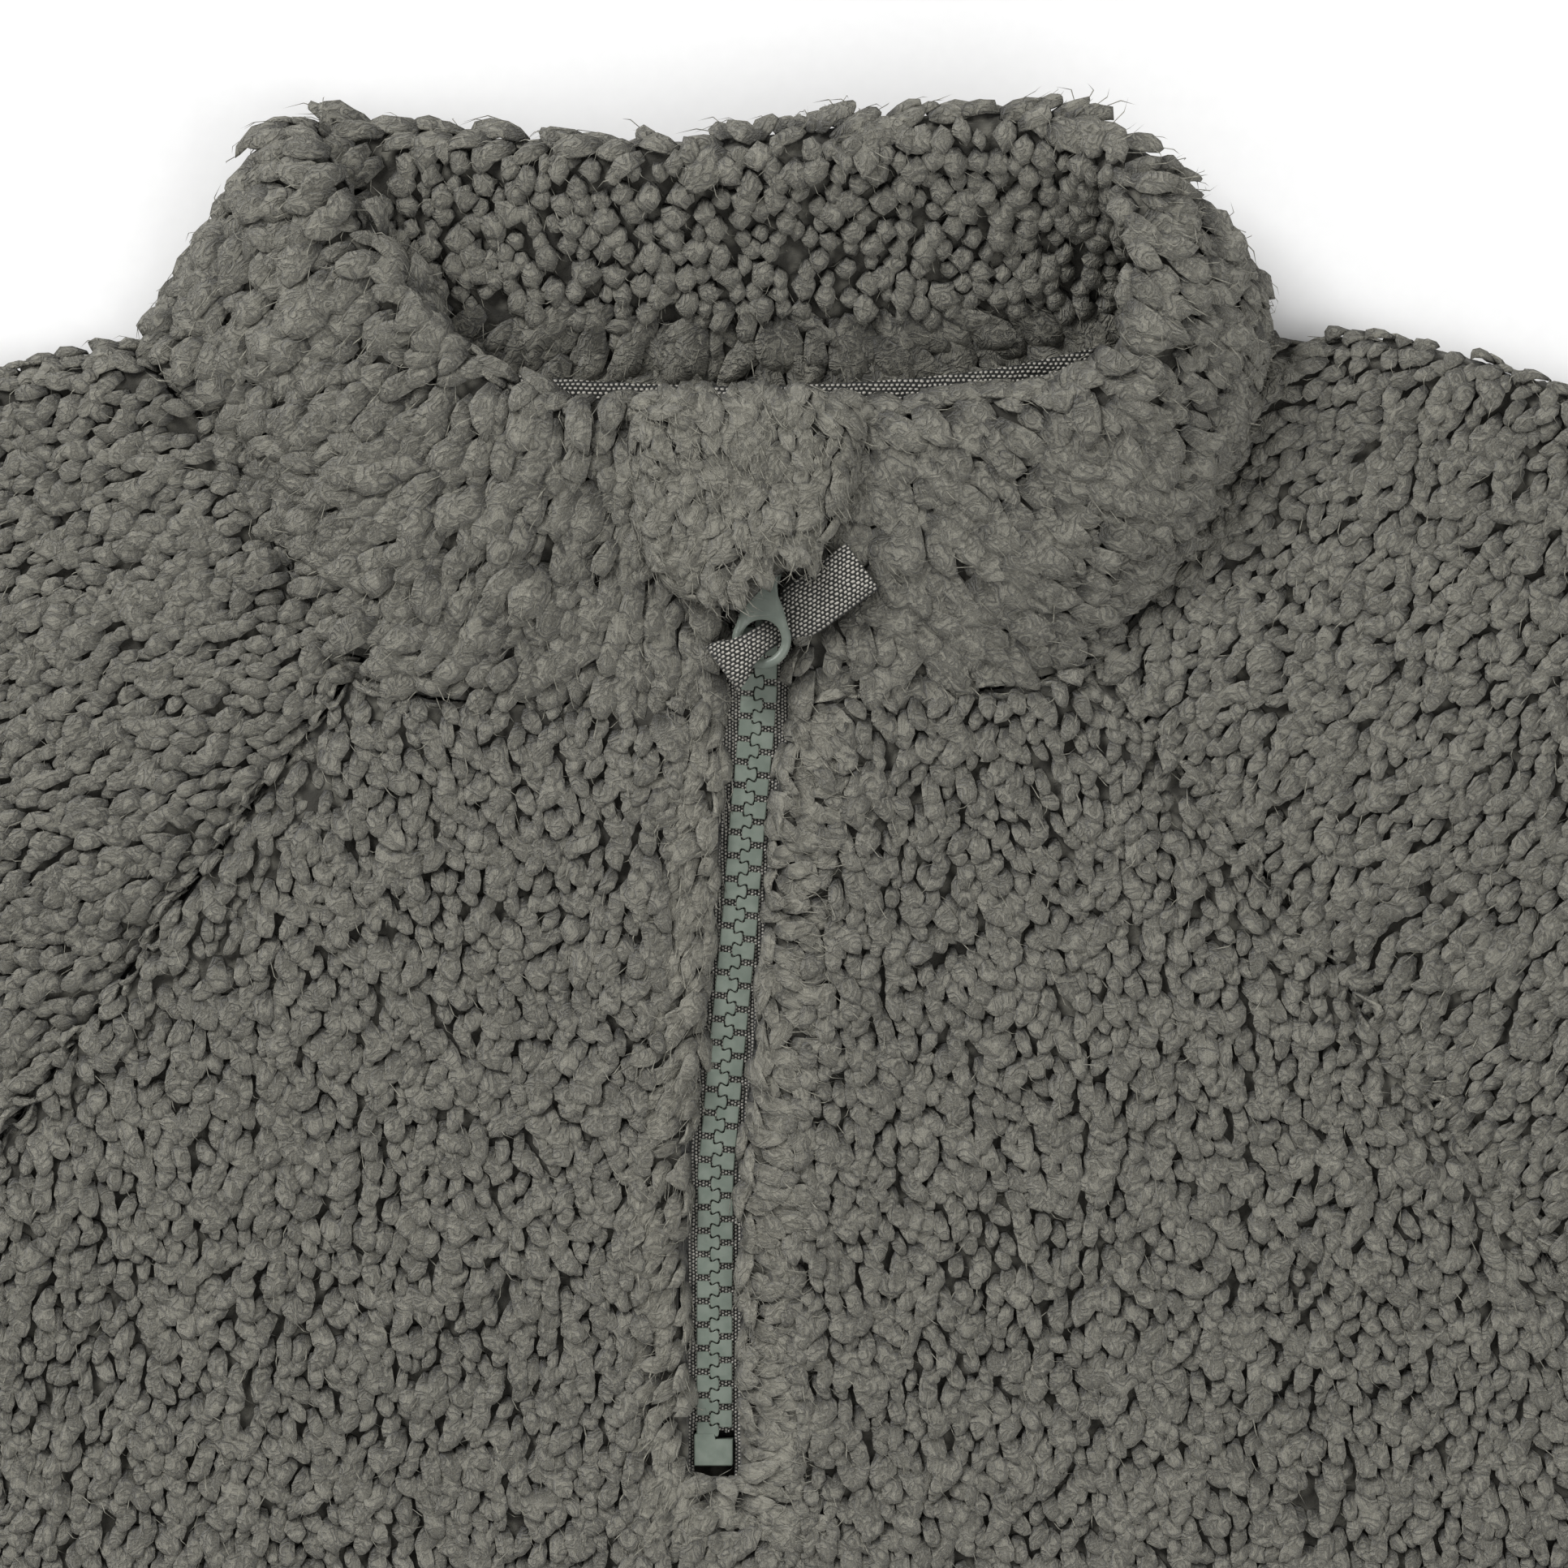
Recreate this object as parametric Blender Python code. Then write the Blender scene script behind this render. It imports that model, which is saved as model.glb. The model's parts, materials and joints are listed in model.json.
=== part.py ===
"""Child's half-zip pullover in boucle fleece, laid flat with its front up.

A front and a back panel, two raglan sleeves, a stand collar folded double at its rim, a chin guard over the top of
the zip, and a moulded zip with a ring puller and a webbing tab. Every sewn piece is a closed solid as thick as its
cloth with the pile on it, and pieces lie 0.5 mm apart at their seams.

Tables and functions work in millimetres: x to the wearer's left as the picture shows it on the right, y up towards
the collar from the level of the side neck, z up from the surface. place() moves them to the part's frame in metres.
"""
import math

import bpy
import numpy as np

MM = 0.001
SEAM = 0.5

# Body and sleeves
WALL = 5.2
LAYER_GAP = 0.5
BACK_MID = WALL / 2
FRONT_MID = WALL + LAYER_GAP + WALL / 2
FOLD_RADIUS = (FRONT_MID - BACK_MID) / 2
FOLD_MID = (FRONT_MID + BACK_MID) / 2
HALF_CHEST = 186.0
HALF_HEM = 188.0
ARMPIT_Y = -222.0
HEM_Y = -460.0
CUFF_INNER = (364.0, -387.0)
SEAM_DIP = 2.2
SEAM_DIP_WIDTH = 6.0
ZIP_LIFT = 2.0

# Zip, number 5 moulded teeth
CHAIN_WIDTH = 6.1
CHAIN_THICK = 2.8
TAPE_REACH = 14.0
TAPE_THICK = 0.8
SLIT_HALF = 4.3
SLIT_FLARE = 2.7
SLIT_BOTTOM_Y = -193.5
STOP_Y = (-191.0, -185.6)
TAPE_BOTTOM_Y = -199.0
SLIDER_Y = -38.5
PIVOT_Z = 16.6
PULL_REACH = 19.6
RING_OUTER = 4.9
RING_HOLE = 3.3
PULL_THICK = 2.2
PULL_HEEL = 1.5
SHANK_HALF = 2.3
SHANK_SPREAD = 4.3
SLIDER_CLEAR = 0.8

# Collar
COLLAR_BASE_WALL = 5.2
COLLAR_WALL = 9.2
COLLAR_COLUMNS_PER_STATION = 2
COLLAR_RISE = 1.5
FOLD_SHARE = 0.7

# Centre line of the zip from the bottom of its tape to the collar's rim
ZIP_COLUMNS = ("y", "x", "z")
ZIP_LINE = [
    (-205.0, -3.0, 7.0),
    (-190.0, -3.0, 7.0),
    (-165.0, -3.0, 7.0),
    (-142.0, -2.8, 7.0),
    (-121.0, -0.9, 7.0),
    (-100.0, 1.2, 7.0),
    (-82.0, 2.6, 7.0),
    (-69.0, 3.9, 7.0),
    (-62.0, 4.4, 7.8),
    (-50.0, 4.6, 9.6),
    (-38.5, 4.8, 11.6),
    (-24.0, 4.9, 15.0),
    (-15.0, 4.9, 17.0),
]

# The collar band's middle surface, from the left zip edge round the back to the right zip edge: its sewn base, its
# rim, and how far it bulges between them
COLLAR_COLUMN_NAMES = ("base_x", "base_y", "base_z", "rim_x", "rim_y", "rim_z", "bulge")
COLLAR_STATIONS = [
    (-2.4, -62.8, 9.0, 0.6, -18.6, 17.0, 0.0),
    (-18.0, -63.4, 8.5, -12.0, -18.6, 17.3, 0.8),
    (-36.0, -63.4, 8.4, -27.0, -17.6, 18.5, 2.0),
    (-52.0, -62.2, 8.4, -40.0, -13.8, 20.0, 2.5),
    (-62.5, -57.5, 8.4, -48.0, -7.5, 21.2, 3.0),
    (-70.0, -47.5, 8.4, -53.5, -0.5, 22.0, 3.0),
    (-76.5, -36.5, 8.4, -58.5, 6.5, 22.3, 3.0),
    (-83.5, -24.0, 8.4, -63.5, 14.0, 22.4, 2.5),
    (-90.5, -12.0, 8.3, -68.0, 21.0, 21.8, 1.5),
    (-94.0, -6.4, 8.3, -71.0, 25.2, 20.2, 0.5),
    (-97.0, -3.2, 5.55, -72.9, 28.0, 15.6, 0.0),
    (-94.0, -1.4, 2.8, -70.6, 29.4, 11.0, 0.0),
    (-87.0, -1.8, 2.7, -61.0, 28.6, 9.4, 0.0),
    (-65.0, -6.5, 2.7, -44.0, 26.8, 11.5, 0.0),
    (-40.0, -10.3, 2.7, -27.0, 25.6, 15.5, 0.0),
    (-10.0, -12.4, 2.7, -8.0, 25.0, 18.0, 0.0),
    (20.0, -12.0, 2.7, 15.0, 26.8, 19.5, 0.0),
    (45.0, -9.5, 2.7, 35.0, 29.4, 20.5, 0.0),
    (66.0, -5.0, 2.7, 51.0, 29.8, 22.5, 0.5),
    (82.0, -2.0, 2.8, 62.6, 26.2, 26.0, 1.0),
    (85.8, -3.2, 5.55, 68.2, 19.8, 30.0, 3.0),
    (85.0, -8.4, 8.3, 70.6, 10.6, 32.0, 5.0),
    (83.0, -17.5, 8.4, 70.0, 1.4, 32.0, 6.0),
    (78.5, -30.0, 8.4, 67.0, -6.8, 30.5, 6.0),
    (71.5, -42.5, 8.4, 61.8, -12.8, 27.6, 5.5),
    (60.5, -55.5, 8.4, 53.0, -16.2, 24.0, 4.5),
    (47.0, -60.3, 8.4, 40.0, -17.8, 20.8, 3.0),
    (30.0, -62.2, 8.5, 25.0, -18.8, 18.3, 1.2),
    (11.6, -62.8, 9.0, 9.2, -18.6, 17.0, 0.0),
]
LEFT_RAGLAN_STATION = 4
LEFT_FOLD_STATIONS = (9, 10, 11)
LEFT_BACK_X = -76.0
RIGHT_RAGLAN_STATION = 25
RIGHT_FOLD_STATIONS = (21, 20, 19)
RIGHT_BACK_X = 72.0

# Fold along the top of each sleeve, from the neck to the cuff
EDGE_COLUMNS = ("x", "y")
LEFT_EDGE = [
    (-97.6, -3.4),
    (-109.0, -4.6),
    (-121.2, -9.0),
    (-147.0, -17.0),
    (-178.0, -32.5),
    (-213.0, -62.0),
    (-270.0, -129.0),
    (-437.0, -328.0),
]
RIGHT_EDGE = [
    (86.6, -1.0),
    (101.0, 0.2),
    (117.0, -4.2),
    (138.4, -12.3),
    (162.0, -23.0),
    (187.0, -39.0),
    (214.0, -63.0),
    (270.0, -129.0),
    (437.0, -328.0),
]
EDGE_AT_ARMPIT = 0.5
RAGLAN_STEP = (0.08, 0.05)
FOLD_SEAM = 2.6

# Chin guard: half widths about its own centre, from its lower tip to the rim
GUARD_COLUMNS = ("fraction", "centre_x", "half_width")
GUARD_SHAPE = [
    (0.0, -0.6, 2.2),
    (0.1, -2.9, 5.5),
    (0.2, -1.2, 10.8),
    (0.32, -0.2, 13.8),
    (0.45, 1.0, 16.0),
    (0.7, 2.2, 17.2),
    (1.0, 2.4, 17.6),
]
GUARD_TIP_Y = -47.2
GUARD_THICK = 4.2
GUARD_MOUTH_LIFT = 4.0

# Webbing tab, threaded through the ring: distance along it from the ring's centre, height over the ring, half width
TAB_COLUMNS = ("along", "up", "half_width")
TAB_PATH = [
    (20.6, 2.8, 4.65),
    (16.0, 2.0, 4.65),
    (11.5, 0.8, 4.65),
    (7.6, -1.1, 4.4),
    (5.2, -2.1, 3.2),
    (3.2, -2.0, 2.5),
    (1.2, -1.0, 2.2),
    (-0.8, 0.9, 2.2),
    (-2.8, 2.1, 2.5),
    (-5.0, 2.2, 3.3),
    (-7.0, 1.2, 4.2),
    (-7.7, -0.6, 4.4),
    (-6.6, -2.1, 4.2),
    (-4.8, -2.3, 3.6),
]
TAB_DIRECTION = (0.81, 0.586)
TAB_THICK = 1.2

# Woven tape over the back neck seam
NECK_TAPE_WIDTH = 9.3
NECK_TAPE_THICK = 0.9
NECK_TAPE_X = (-60.0, 62.0)

FLEECE = (0.125, 0.121, 0.102, 1.0)
BRUSHED = (0.155, 0.150, 0.128, 1.0)
WEBBING = (0.145, 0.150, 0.136, 1.0)
PLASTIC = (0.155, 0.180, 0.152, 1.0)


def clear_scene():
    for old in list(bpy.data.objects):
        bpy.data.objects.remove(old, do_unlink=True)


def unit(vectors):
    length = np.linalg.norm(vectors, axis=-1, keepdims=True)
    return vectors / np.maximum(length, 1e-9)


def ease(value):
    value = np.clip(value, 0.0, 1.0)
    return value * value * (3.0 - 2.0 * value)


def knots_of(rows):
    steps = np.linalg.norm(np.diff(rows, axis=0), axis=1)
    return np.concatenate([[0.0], np.cumsum(steps)])


def smooth_at(rows, knots, at):
    """Cubic Hermite curve through the rows, read at positions on the knots."""
    rows = np.asarray(rows, float)
    slopes = np.gradient(rows, knots, axis=0)
    index = np.clip(np.searchsorted(knots, at, side="right") - 1, 0, len(knots) - 2)
    span = (knots[index + 1] - knots[index])[:, None]
    t = (np.asarray(at)[:, None] - knots[index][:, None]) / span
    first = (2 * t**3 - 3 * t**2 + 1) * rows[index]
    second = (t**3 - 2 * t**2 + t) * span * slopes[index]
    third = (-2 * t**3 + 3 * t**2) * rows[index + 1]
    fourth = (t**3 - t**2) * span * slopes[index + 1]
    return first + second + third + fourth


def smooth_path(rows, fractions):
    rows = np.asarray(rows, float)
    knots = knots_of(rows)
    return smooth_at(rows, knots, np.asarray(fractions) * knots[-1])


def grid_normals(points):
    """Unit normals of a grid of points, along (next column) x (next row)."""
    return unit(np.cross(np.gradient(points, axis=1), np.gradient(points, axis=0)))


def zip_at(y):
    """Centre of the zip, as x and z, at a height y."""
    dense = smooth_path(ZIP_LINE, np.linspace(0.0, 1.0, 200))
    return np.interp(y, dense[:, 0], dense[:, 1]), np.interp(y, dense[:, 0], dense[:, 2])


def half_wall(middle, halves):
    """Half the collar's thickness at each point, thinned where the band turns too tightly for it."""
    steps = np.diff(middle, axis=1)
    lengths = np.linalg.norm(steps, axis=-1)
    turns = np.arccos(np.clip((unit(steps[:, 1:]) * unit(steps[:, :-1])).sum(-1), -1.0, 1.0))
    radius = (lengths[:, 1:] + lengths[:, :-1]) / 2 / np.maximum(turns, 1e-3)
    half = np.repeat(halves[:, None], middle.shape[1], axis=1)
    half[:, 1:-1] = np.minimum(half[:, 1:-1], radius * FOLD_SHARE)
    for _ in range(8):
        half[:, 1:] = np.minimum(half[:, 1:], half[:, :-1] + lengths * 0.3)
        half[:, :-1] = np.minimum(half[:, :-1], half[:, 1:] + lengths * 0.3)
    return half


def collar_surface():
    """Outer and inner points of the collar, its base line and the direction from the base to the rim."""
    stations = np.array(COLLAR_STATIONS)
    knots = knots_of(stations[:, :6])
    positions = np.linspace(0.0, len(knots) - 1.0, (len(knots) - 1) * COLLAR_COLUMNS_PER_STATION + 1)
    table = smooth_at(stations, knots, np.interp(positions, np.arange(len(knots)), knots))
    base, rim, bulge = table[:, :3], table[:, 3:6], table[:, 6]
    heights = np.array([0.0, 0.12, 0.26, 0.42, 0.58, 0.74, 0.88, 1.0])
    middle = []
    for v in heights:
        plan = base[:, :2] + (rim[:, :2] - base[:, :2]) * v
        z = base[:, 2] + (rim[:, 2] - base[:, 2]) * v**COLLAR_RISE
        middle.append(np.column_stack([plan, z]))
    middle = np.array(middle)
    normal = -grid_normals(middle)
    flat = np.array([1.0, 1.0, 0.0])
    towards_rim = unit((rim - base) * flat)
    normal[0] = unit(np.cross(towards_rim, np.gradient(base, axis=0)))
    middle = middle + normal * (bulge * (4 * heights * (1 - heights))[:, None])[..., None]
    wall = COLLAR_BASE_WALL + (COLLAR_WALL - COLLAR_BASE_WALL) * ease(heights / 0.5)
    half = half_wall(middle, wall / 2)[..., None]
    outer = list(middle + normal * half)
    inner = list(middle - normal * half)
    up = unit(middle[-1] - middle[-2])
    for angle in (30.0, 58.0, 82.0):
        turn = math.radians(angle)
        reach = up * half[-1] * math.sin(turn)
        side = normal[-1] * half[-1] * math.cos(turn)
        outer.append(middle[-1] + reach + side)
        inner.append(middle[-1] + reach - side)
    outer, inner = np.array(outer), np.array(inner)
    for side in (outer, inner):
        side[..., 2] = np.maximum(side[..., 2], 0.0)
    return outer, inner, base, towards_rim


def mesh_object(name, points, faces, colour, roughness, metallic=0.0):
    mesh = bpy.data.meshes.new(name)
    mesh.from_pydata([tuple(p) for p in points], [], faces)
    mesh.update()
    material = bpy.data.materials.new(name)
    material.use_nodes = True
    shader = material.node_tree.nodes["Principled BSDF"]
    shader.inputs["Base Color"].default_value = colour
    shader.inputs["Roughness"].default_value = roughness
    shader.inputs["Metallic"].default_value = metallic
    mesh.materials.append(material)
    mesh.shade_smooth()
    mesh.set_sharp_from_angle(angle=math.radians(50.0))
    made = bpy.data.objects.new(name, mesh)
    bpy.context.scene.collection.objects.link(made)
    return made


def wall_solid(outer, inner, keep=None):
    """Points and faces of the closed wall between two grids of points, over the cells that keep marks."""
    rows, columns = outer.shape[:2]
    if keep is None:
        keep = np.ones((rows - 1, columns - 1), bool)
    index = {}
    points = []

    def corner(layer, i, j):
        if (layer, i, j) not in index:
            index[layer, i, j] = len(points)
            points.append((outer, inner)[layer][i, j])
        return index[layer, i, j]

    faces = []
    for i in range(rows - 1):
        for j in range(columns - 1):
            if not keep[i, j]:
                continue
            ring = [(i, j), (i, j + 1), (i + 1, j + 1), (i + 1, j)]
            faces.append([corner(0, *c) for c in ring])
            faces.append([corner(1, *c) for c in reversed(ring)])
            beside = [(i - 1, j), (i, j + 1), (i + 1, j), (i, j - 1)]
            for k, (m, n) in enumerate(beside):
                if 0 <= m < rows - 1 and 0 <= n < columns - 1 and keep[m, n]:
                    continue
                a, b = ring[k], ring[(k + 1) % 4]
                faces.append([corner(0, *b), corner(0, *a), corner(1, *a), corner(1, *b)])
    return np.array(points), faces


def facing_out(points, faces):
    """The faces, turned over together where they enclose a negative volume."""
    volume = 0.0
    for face in faces:
        a = points[face[0]]
        for k in range(1, len(face) - 1):
            volume += float(np.dot(a, np.cross(points[face[k]], points[face[k + 1]])))
    return faces if volume > 0 else [list(reversed(face)) for face in faces]


collar_outer, collar_inner, collar_base, collar_rise = collar_surface()
TOP_Y = float(max(collar_outer[..., 1].max(), collar_inner[..., 1].max()))
ORIGIN_Y = (TOP_Y + HEM_Y) / 2


def place(points):
    return (np.asarray(points, float) - np.array([0.0, ORIGIN_Y, 0.0])) * MM


def cloth(name, outer, inner, colour, keep=None, roughness=0.95):
    points, faces = wall_solid(place(outer), place(inner), keep)
    return mesh_object(name, points, facing_out(points, faces), colour, roughness)


def neck_seam(positions, gap=SEAM):
    """Seam points just outside the collar's base, and its outward normals, at positions on the table of stations."""
    stations = np.array(COLLAR_STATIONS)
    knots = knots_of(stations[:, :6])
    flat = np.array([1.0, 1.0, 0.0])
    tables = []
    for shift in (-0.02, 0.0, 0.02):
        at = np.clip(np.asarray(positions, float) + shift, 0.0, len(knots) - 1.0)
        tables.append(smooth_at(stations, knots, np.interp(at, np.arange(len(knots)), knots)))
    before, here, after = tables
    rise = unit((here[:, 3:6] - here[:, :3]) * flat)
    return here[:, :3] - rise * np.reshape(gap, (-1, 1)), unit(np.cross(rise, after[:, :3] - before[:, :3]))


def neck_line(first, last, count):
    return neck_seam(np.linspace(first, last, count))[0]


def station_at_x(x, first, last):
    """Position on the collar's table, between two stations, where its base has this x."""
    positions = np.linspace(first, last, 200)
    line = neck_line(first, last, 200)
    return float(positions[np.abs(line[:, 0] - x).argmin()])


def raglan_positions(side):
    """Where the front and back raglan seams meet the neck seam, as positions on the collar's table."""
    if side < 0:
        return LEFT_RAGLAN_STATION, station_at_x(LEFT_BACK_X, 11.0, 14.0)
    return RIGHT_RAGLAN_STATION, station_at_x(RIGHT_BACK_X, 17.0, 19.0)


def sleeve(name, side, edge_table):
    """A sleeve as one sheet: front layer, fold along its top edge, back layer, open at the neck and the cuff."""
    front_position, back_position = raglan_positions(side)
    front_position -= side * RAGLAN_STEP[0]
    back_position += side * RAGLAN_STEP[1]
    starts = neck_seam([front_position, back_position])[0][:, :2]
    armpit = np.array([side * (HALF_CHEST + SEAM), ARMPIT_Y])
    cuff = np.array([side * CUFF_INNER[0], CUFF_INNER[1]])
    ups = np.linspace(0.0, 1.0, 12)
    downs = np.linspace(0.0, 1.0, 9)[1:]
    lower_front = [starts[0] + (armpit - starts[0]) * t for t in ups]
    lower_back = [starts[1] + (armpit - starts[1]) * t for t in ups]
    underarm = [armpit + (cuff - armpit) * t for t in downs]
    fractions = list(ups * EDGE_AT_ARMPIT) + list(EDGE_AT_ARMPIT + downs * (1.0 - EDGE_AT_ARMPIT))
    edge = smooth_path(edge_table, fractions)
    across = np.array([0.0, 0.04, 0.12, 0.3, 0.5, 0.7, 0.88, 1.0])
    turns = np.radians([45.0, 0.0, -45.0])
    grid = []
    for front, back, top in zip(lower_front + underarm, lower_back + underarm, edge):
        line = unit(top - front)
        start = top - line * FOLD_RADIUS
        row = [(*(front + (start - front) * s), FRONT_MID) for s in across]
        for turn in turns:
            spot = start + line * FOLD_RADIUS * math.cos(turn)
            row.append((*spot, FOLD_MID + FOLD_RADIUS * math.sin(turn)))
        row += [(*(start + (back - start) * s), BACK_MID) for s in 1.0 - across[::-1]]
        grid.append(row)
    grid = np.array(grid)
    fold = LEFT_FOLD_STATIONS if side < 0 else RIGHT_FOLD_STATIONS
    positions = list(front_position + (fold[0] - front_position) * across)
    positions += [(fold[0] + fold[1]) / 2, fold[1], (fold[1] + fold[2]) / 2]
    positions += list(fold[2] + (back_position - fold[2]) * (1.0 - across[::-1]))
    gap = np.full(len(positions), SEAM)
    gap[len(across) - 2:len(across) + 5] = FOLD_SEAM
    seam_row, seam_normal = neck_seam(positions, gap)
    change = seam_row - grid[0]
    for i, share in enumerate((1.0, 0.45, 0.12)):
        grid[i] += change * share
    normal = np.zeros_like(grid)
    normal[:, :len(across), 2] = 1.0
    normal[:, len(across) + 3:, 2] = -1.0
    for i, (front, top) in enumerate(zip(lower_front + underarm, edge)):
        for j, turn in enumerate(turns):
            normal[i, len(across) + j] = (*(unit(top - front) * math.cos(turn)), math.sin(turn))
    normal[0] = seam_normal
    half = np.full(grid.shape[1], WALL / 2)
    half[len(across):len(across) + 3] = FOLD_RADIUS * FOLD_SHARE
    outer = grid + normal * half[:, None]
    inner = grid - normal * half[:, None]
    for column, share in enumerate((1.0, 0.55)):
        outer[:, column, 2] -= SEAM_DIP * share
    outer[..., 2] = np.maximum(outer[..., 2], 0.0)
    inner[..., 2] = np.maximum(inner[..., 2], 0.0)
    return cloth(name, outer, inner, FLEECE)


def panel_rows(levels, neck_ends):
    """Left and right ends of a panel's rows: level 0 at the neck, 1 at the armpits and 2 at the hem."""
    ends = []
    for side, start in zip((-1, 1), neck_ends):
        armpit = np.array([side * HALF_CHEST, ARMPIT_Y])
        hem = np.array([side * HALF_HEM, HEM_Y])
        up = start + (armpit - start) * np.clip(levels, 0.0, 1.0)[:, None]
        down = (hem - armpit) * np.clip(levels - 1.0, 0.0, 1.0)[:, None]
        ends.append(up + down)
    return ends


def neck_drop(neck, share):
    """How far the neck seam runs above the straight line between its ends, at a share of the way across."""
    x = neck[0, 0] + (neck[-1, 0] - neck[0, 0]) * share
    straight = neck[0, 1] + (neck[-1, 1] - neck[0, 1]) * share
    return float(np.interp(x, neck[:, 0], neck[:, 1])) - straight


def front_panel():
    """Front with its slit for the zip. Its middle rises over the zip's tape."""
    left = neck_line(LEFT_RAGLAN_STATION, 0, 60)
    right = neck_line(len(COLLAR_STATIONS) - 1, RIGHT_RAGLAN_STATION, 60)
    neck = np.vstack([left, right])
    levels = np.concatenate([np.linspace(0.0, 1.0, 16)[:-1], 1.0 + np.linspace(0.0, 1.0, 11)])
    starts = (neck[0, :2], neck[-1, :2])
    middle_y = (starts[0][1] + starts[1][1]) / 2
    slit_level = (middle_y - SLIT_BOTTOM_Y) / (middle_y - ARMPIT_Y)
    slit_row = int(np.abs(levels - slit_level).argmin())
    levels[slit_row] = slit_level
    shares = np.array([0.0, 0.035, 0.1, 0.22, 0.36, 0.5, 0.64, 0.77, 0.88])
    near_slit = np.array([9.0, 4.0, 0.0])
    outer, inner = [], []
    for level, low, high in zip(levels, *panel_rows(levels, starts)):
        middle, _ = zip_at((low[1] + high[1]) / 2 + neck_drop(neck, 0.5) * (1.0 - min(level, 1.0)) ** 2)
        low_slit, high_slit = float(middle) - SLIT_HALF, float(middle) + SLIT_HALF
        if level < 0.08:
            low_slit -= SLIT_FLARE * (1.0 - level / 0.08)
            high_slit += SLIT_FLARE * (1.0 - level / 0.08)
        xs = [low[0] + (low_slit - 9.0 - low[0]) * s / 0.94 for s in shares]
        xs += [low_slit - d for d in near_slit]
        xs += [high_slit + d for d in near_slit[::-1]]
        xs += [high[0] + (high_slit + 9.0 - high[0]) * s / 0.94 for s in shares[::-1]]
        row_out, row_in = [], []
        for x in xs:
            share = (x - low[0]) / (high[0] - low[0])
            y = low[1] + (high[1] - low[1]) * share + neck_drop(neck, share) * (1.0 - min(level, 1.0)) ** 2
            edge = min(x - low[0], high[0] - x)
            lift = (1.0 - ease((abs(x - middle) - 14.5) / 16.0)) * ZIP_LIFT
            lift *= 1.0 - ease((SLIT_BOTTOM_Y - 10.0 - y) / 25.0)
            dip = SEAM_DIP * (1.0 - ease(edge / SEAM_DIP_WIDTH))
            dip = max(dip, 1.2 * (1.0 - ease((abs(x - middle) - SLIT_HALF) / 4.5)))
            if level > 1.0:
                dip = max(dip, 2.6 * (1.0 - ease(edge / 10.0)))
            row_out.append((x, y, FRONT_MID + WALL / 2 + lift - dip))
            row_in.append((x, y, FRONT_MID - WALL / 2 + lift))
        outer.append(row_out)
        inner.append(row_in)
    outer, inner = np.array(outer), np.array(inner)
    keep = np.ones((outer.shape[0] - 1, outer.shape[1] - 1), bool)
    keep[:slit_row, len(shares) + len(near_slit) - 1] = False
    return cloth("front", outer, inner, FLEECE, keep)


def back_panel():
    first, last = raglan_positions(-1)[1], raglan_positions(1)[1]
    neck = neck_line(first, last, 80)
    levels = np.concatenate([np.linspace(0.0, 1.0, 12)[:-1], 1.0 + np.linspace(0.0, 1.0, 8)])
    shares = np.linspace(0.0, 1.0, 15)
    outer, inner = [], []
    for level, low, high in zip(levels, *panel_rows(levels, (neck[0, :2], neck[-1, :2]))):
        row = []
        for share in shares:
            x, y = low + (high - low) * share
            row.append((x, y + neck_drop(neck, share) * (1.0 - min(level, 1.0)) ** 2))
        outer.append([(*spot, 0.0) for spot in row])
        inner.append([(*spot, WALL) for spot in row])
    return cloth("back", np.array(outer), np.array(inner), FLEECE)


def zip_tape(name, side):
    """Half of the zip's tape, under the front panel's edge and up the slot of the collar to the slider."""
    heights = np.concatenate([np.linspace(TAPE_BOTTOM_Y, -70.0, 12), np.linspace(-68.0, SLIDER_Y - 5.6, 5)])
    x, z = zip_at(heights)
    near = CHAIN_WIDTH / 2 + 0.3
    outer, inner = [], []
    for y, cx, cz in zip(heights, x, z):
        far = TAPE_REACH if y < -69.0 else 3.9 + 2.0 * float(ease((-46.0 - y) / 12.0))
        row = [(cx + side * (near + (far - near) * s), y) for s in (0.0, 0.5, 1.0)]
        outer.append([(*spot, cz + TAPE_THICK / 2) for spot in row])
        inner.append([(*spot, cz - TAPE_THICK / 2) for spot in row])
    return cloth(name, np.array(outer), np.array(inner), WEBBING, roughness=0.8)


def zip_bar(name, low_y, high_y, width, thick, count, lift=0.0):
    heights = np.linspace(low_y, high_y, count)
    x, z = zip_at(heights)
    outer, inner = [], []
    for y, cx, cz in zip(heights, x, z):
        row = [(cx + width * s, y) for s in (-0.5, 0.0, 0.5)]
        outer.append([(*spot, cz + lift + thick / 2) for spot in row])
        inner.append([(*spot, cz + lift - thick / 2) for spot in row])
    return cloth(name, np.array(outer), np.array(inner), PLASTIC, roughness=0.4)


def neck_tape():
    """Woven tape on the inside of the back, along the lower side of the neck seam."""
    xs = np.linspace(NECK_TAPE_X[0], NECK_TAPE_X[1], 17)
    first = station_at_x(LEFT_BACK_X, 11.0, 14.0)
    last = station_at_x(RIGHT_BACK_X, 17.0, 19.0)
    neck = neck_line(first, last, 80)
    seam = np.interp(xs, neck[:, 0], neck[:, 1])
    outer, inner = [], []
    for over_seam, rise in ((2.4, 1.0), (-1.0, 0.0), (2.4 - NECK_TAPE_WIDTH, 0.0)):
        y = seam + over_seam
        low = np.full_like(xs, WALL + 0.3 + rise)
        outer.append(np.column_stack([xs, y, low + NECK_TAPE_THICK]))
        inner.append(np.column_stack([xs, y, low]))
    return cloth("neck_tape", np.array(outer), np.array(inner), WEBBING, roughness=0.85)


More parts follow.
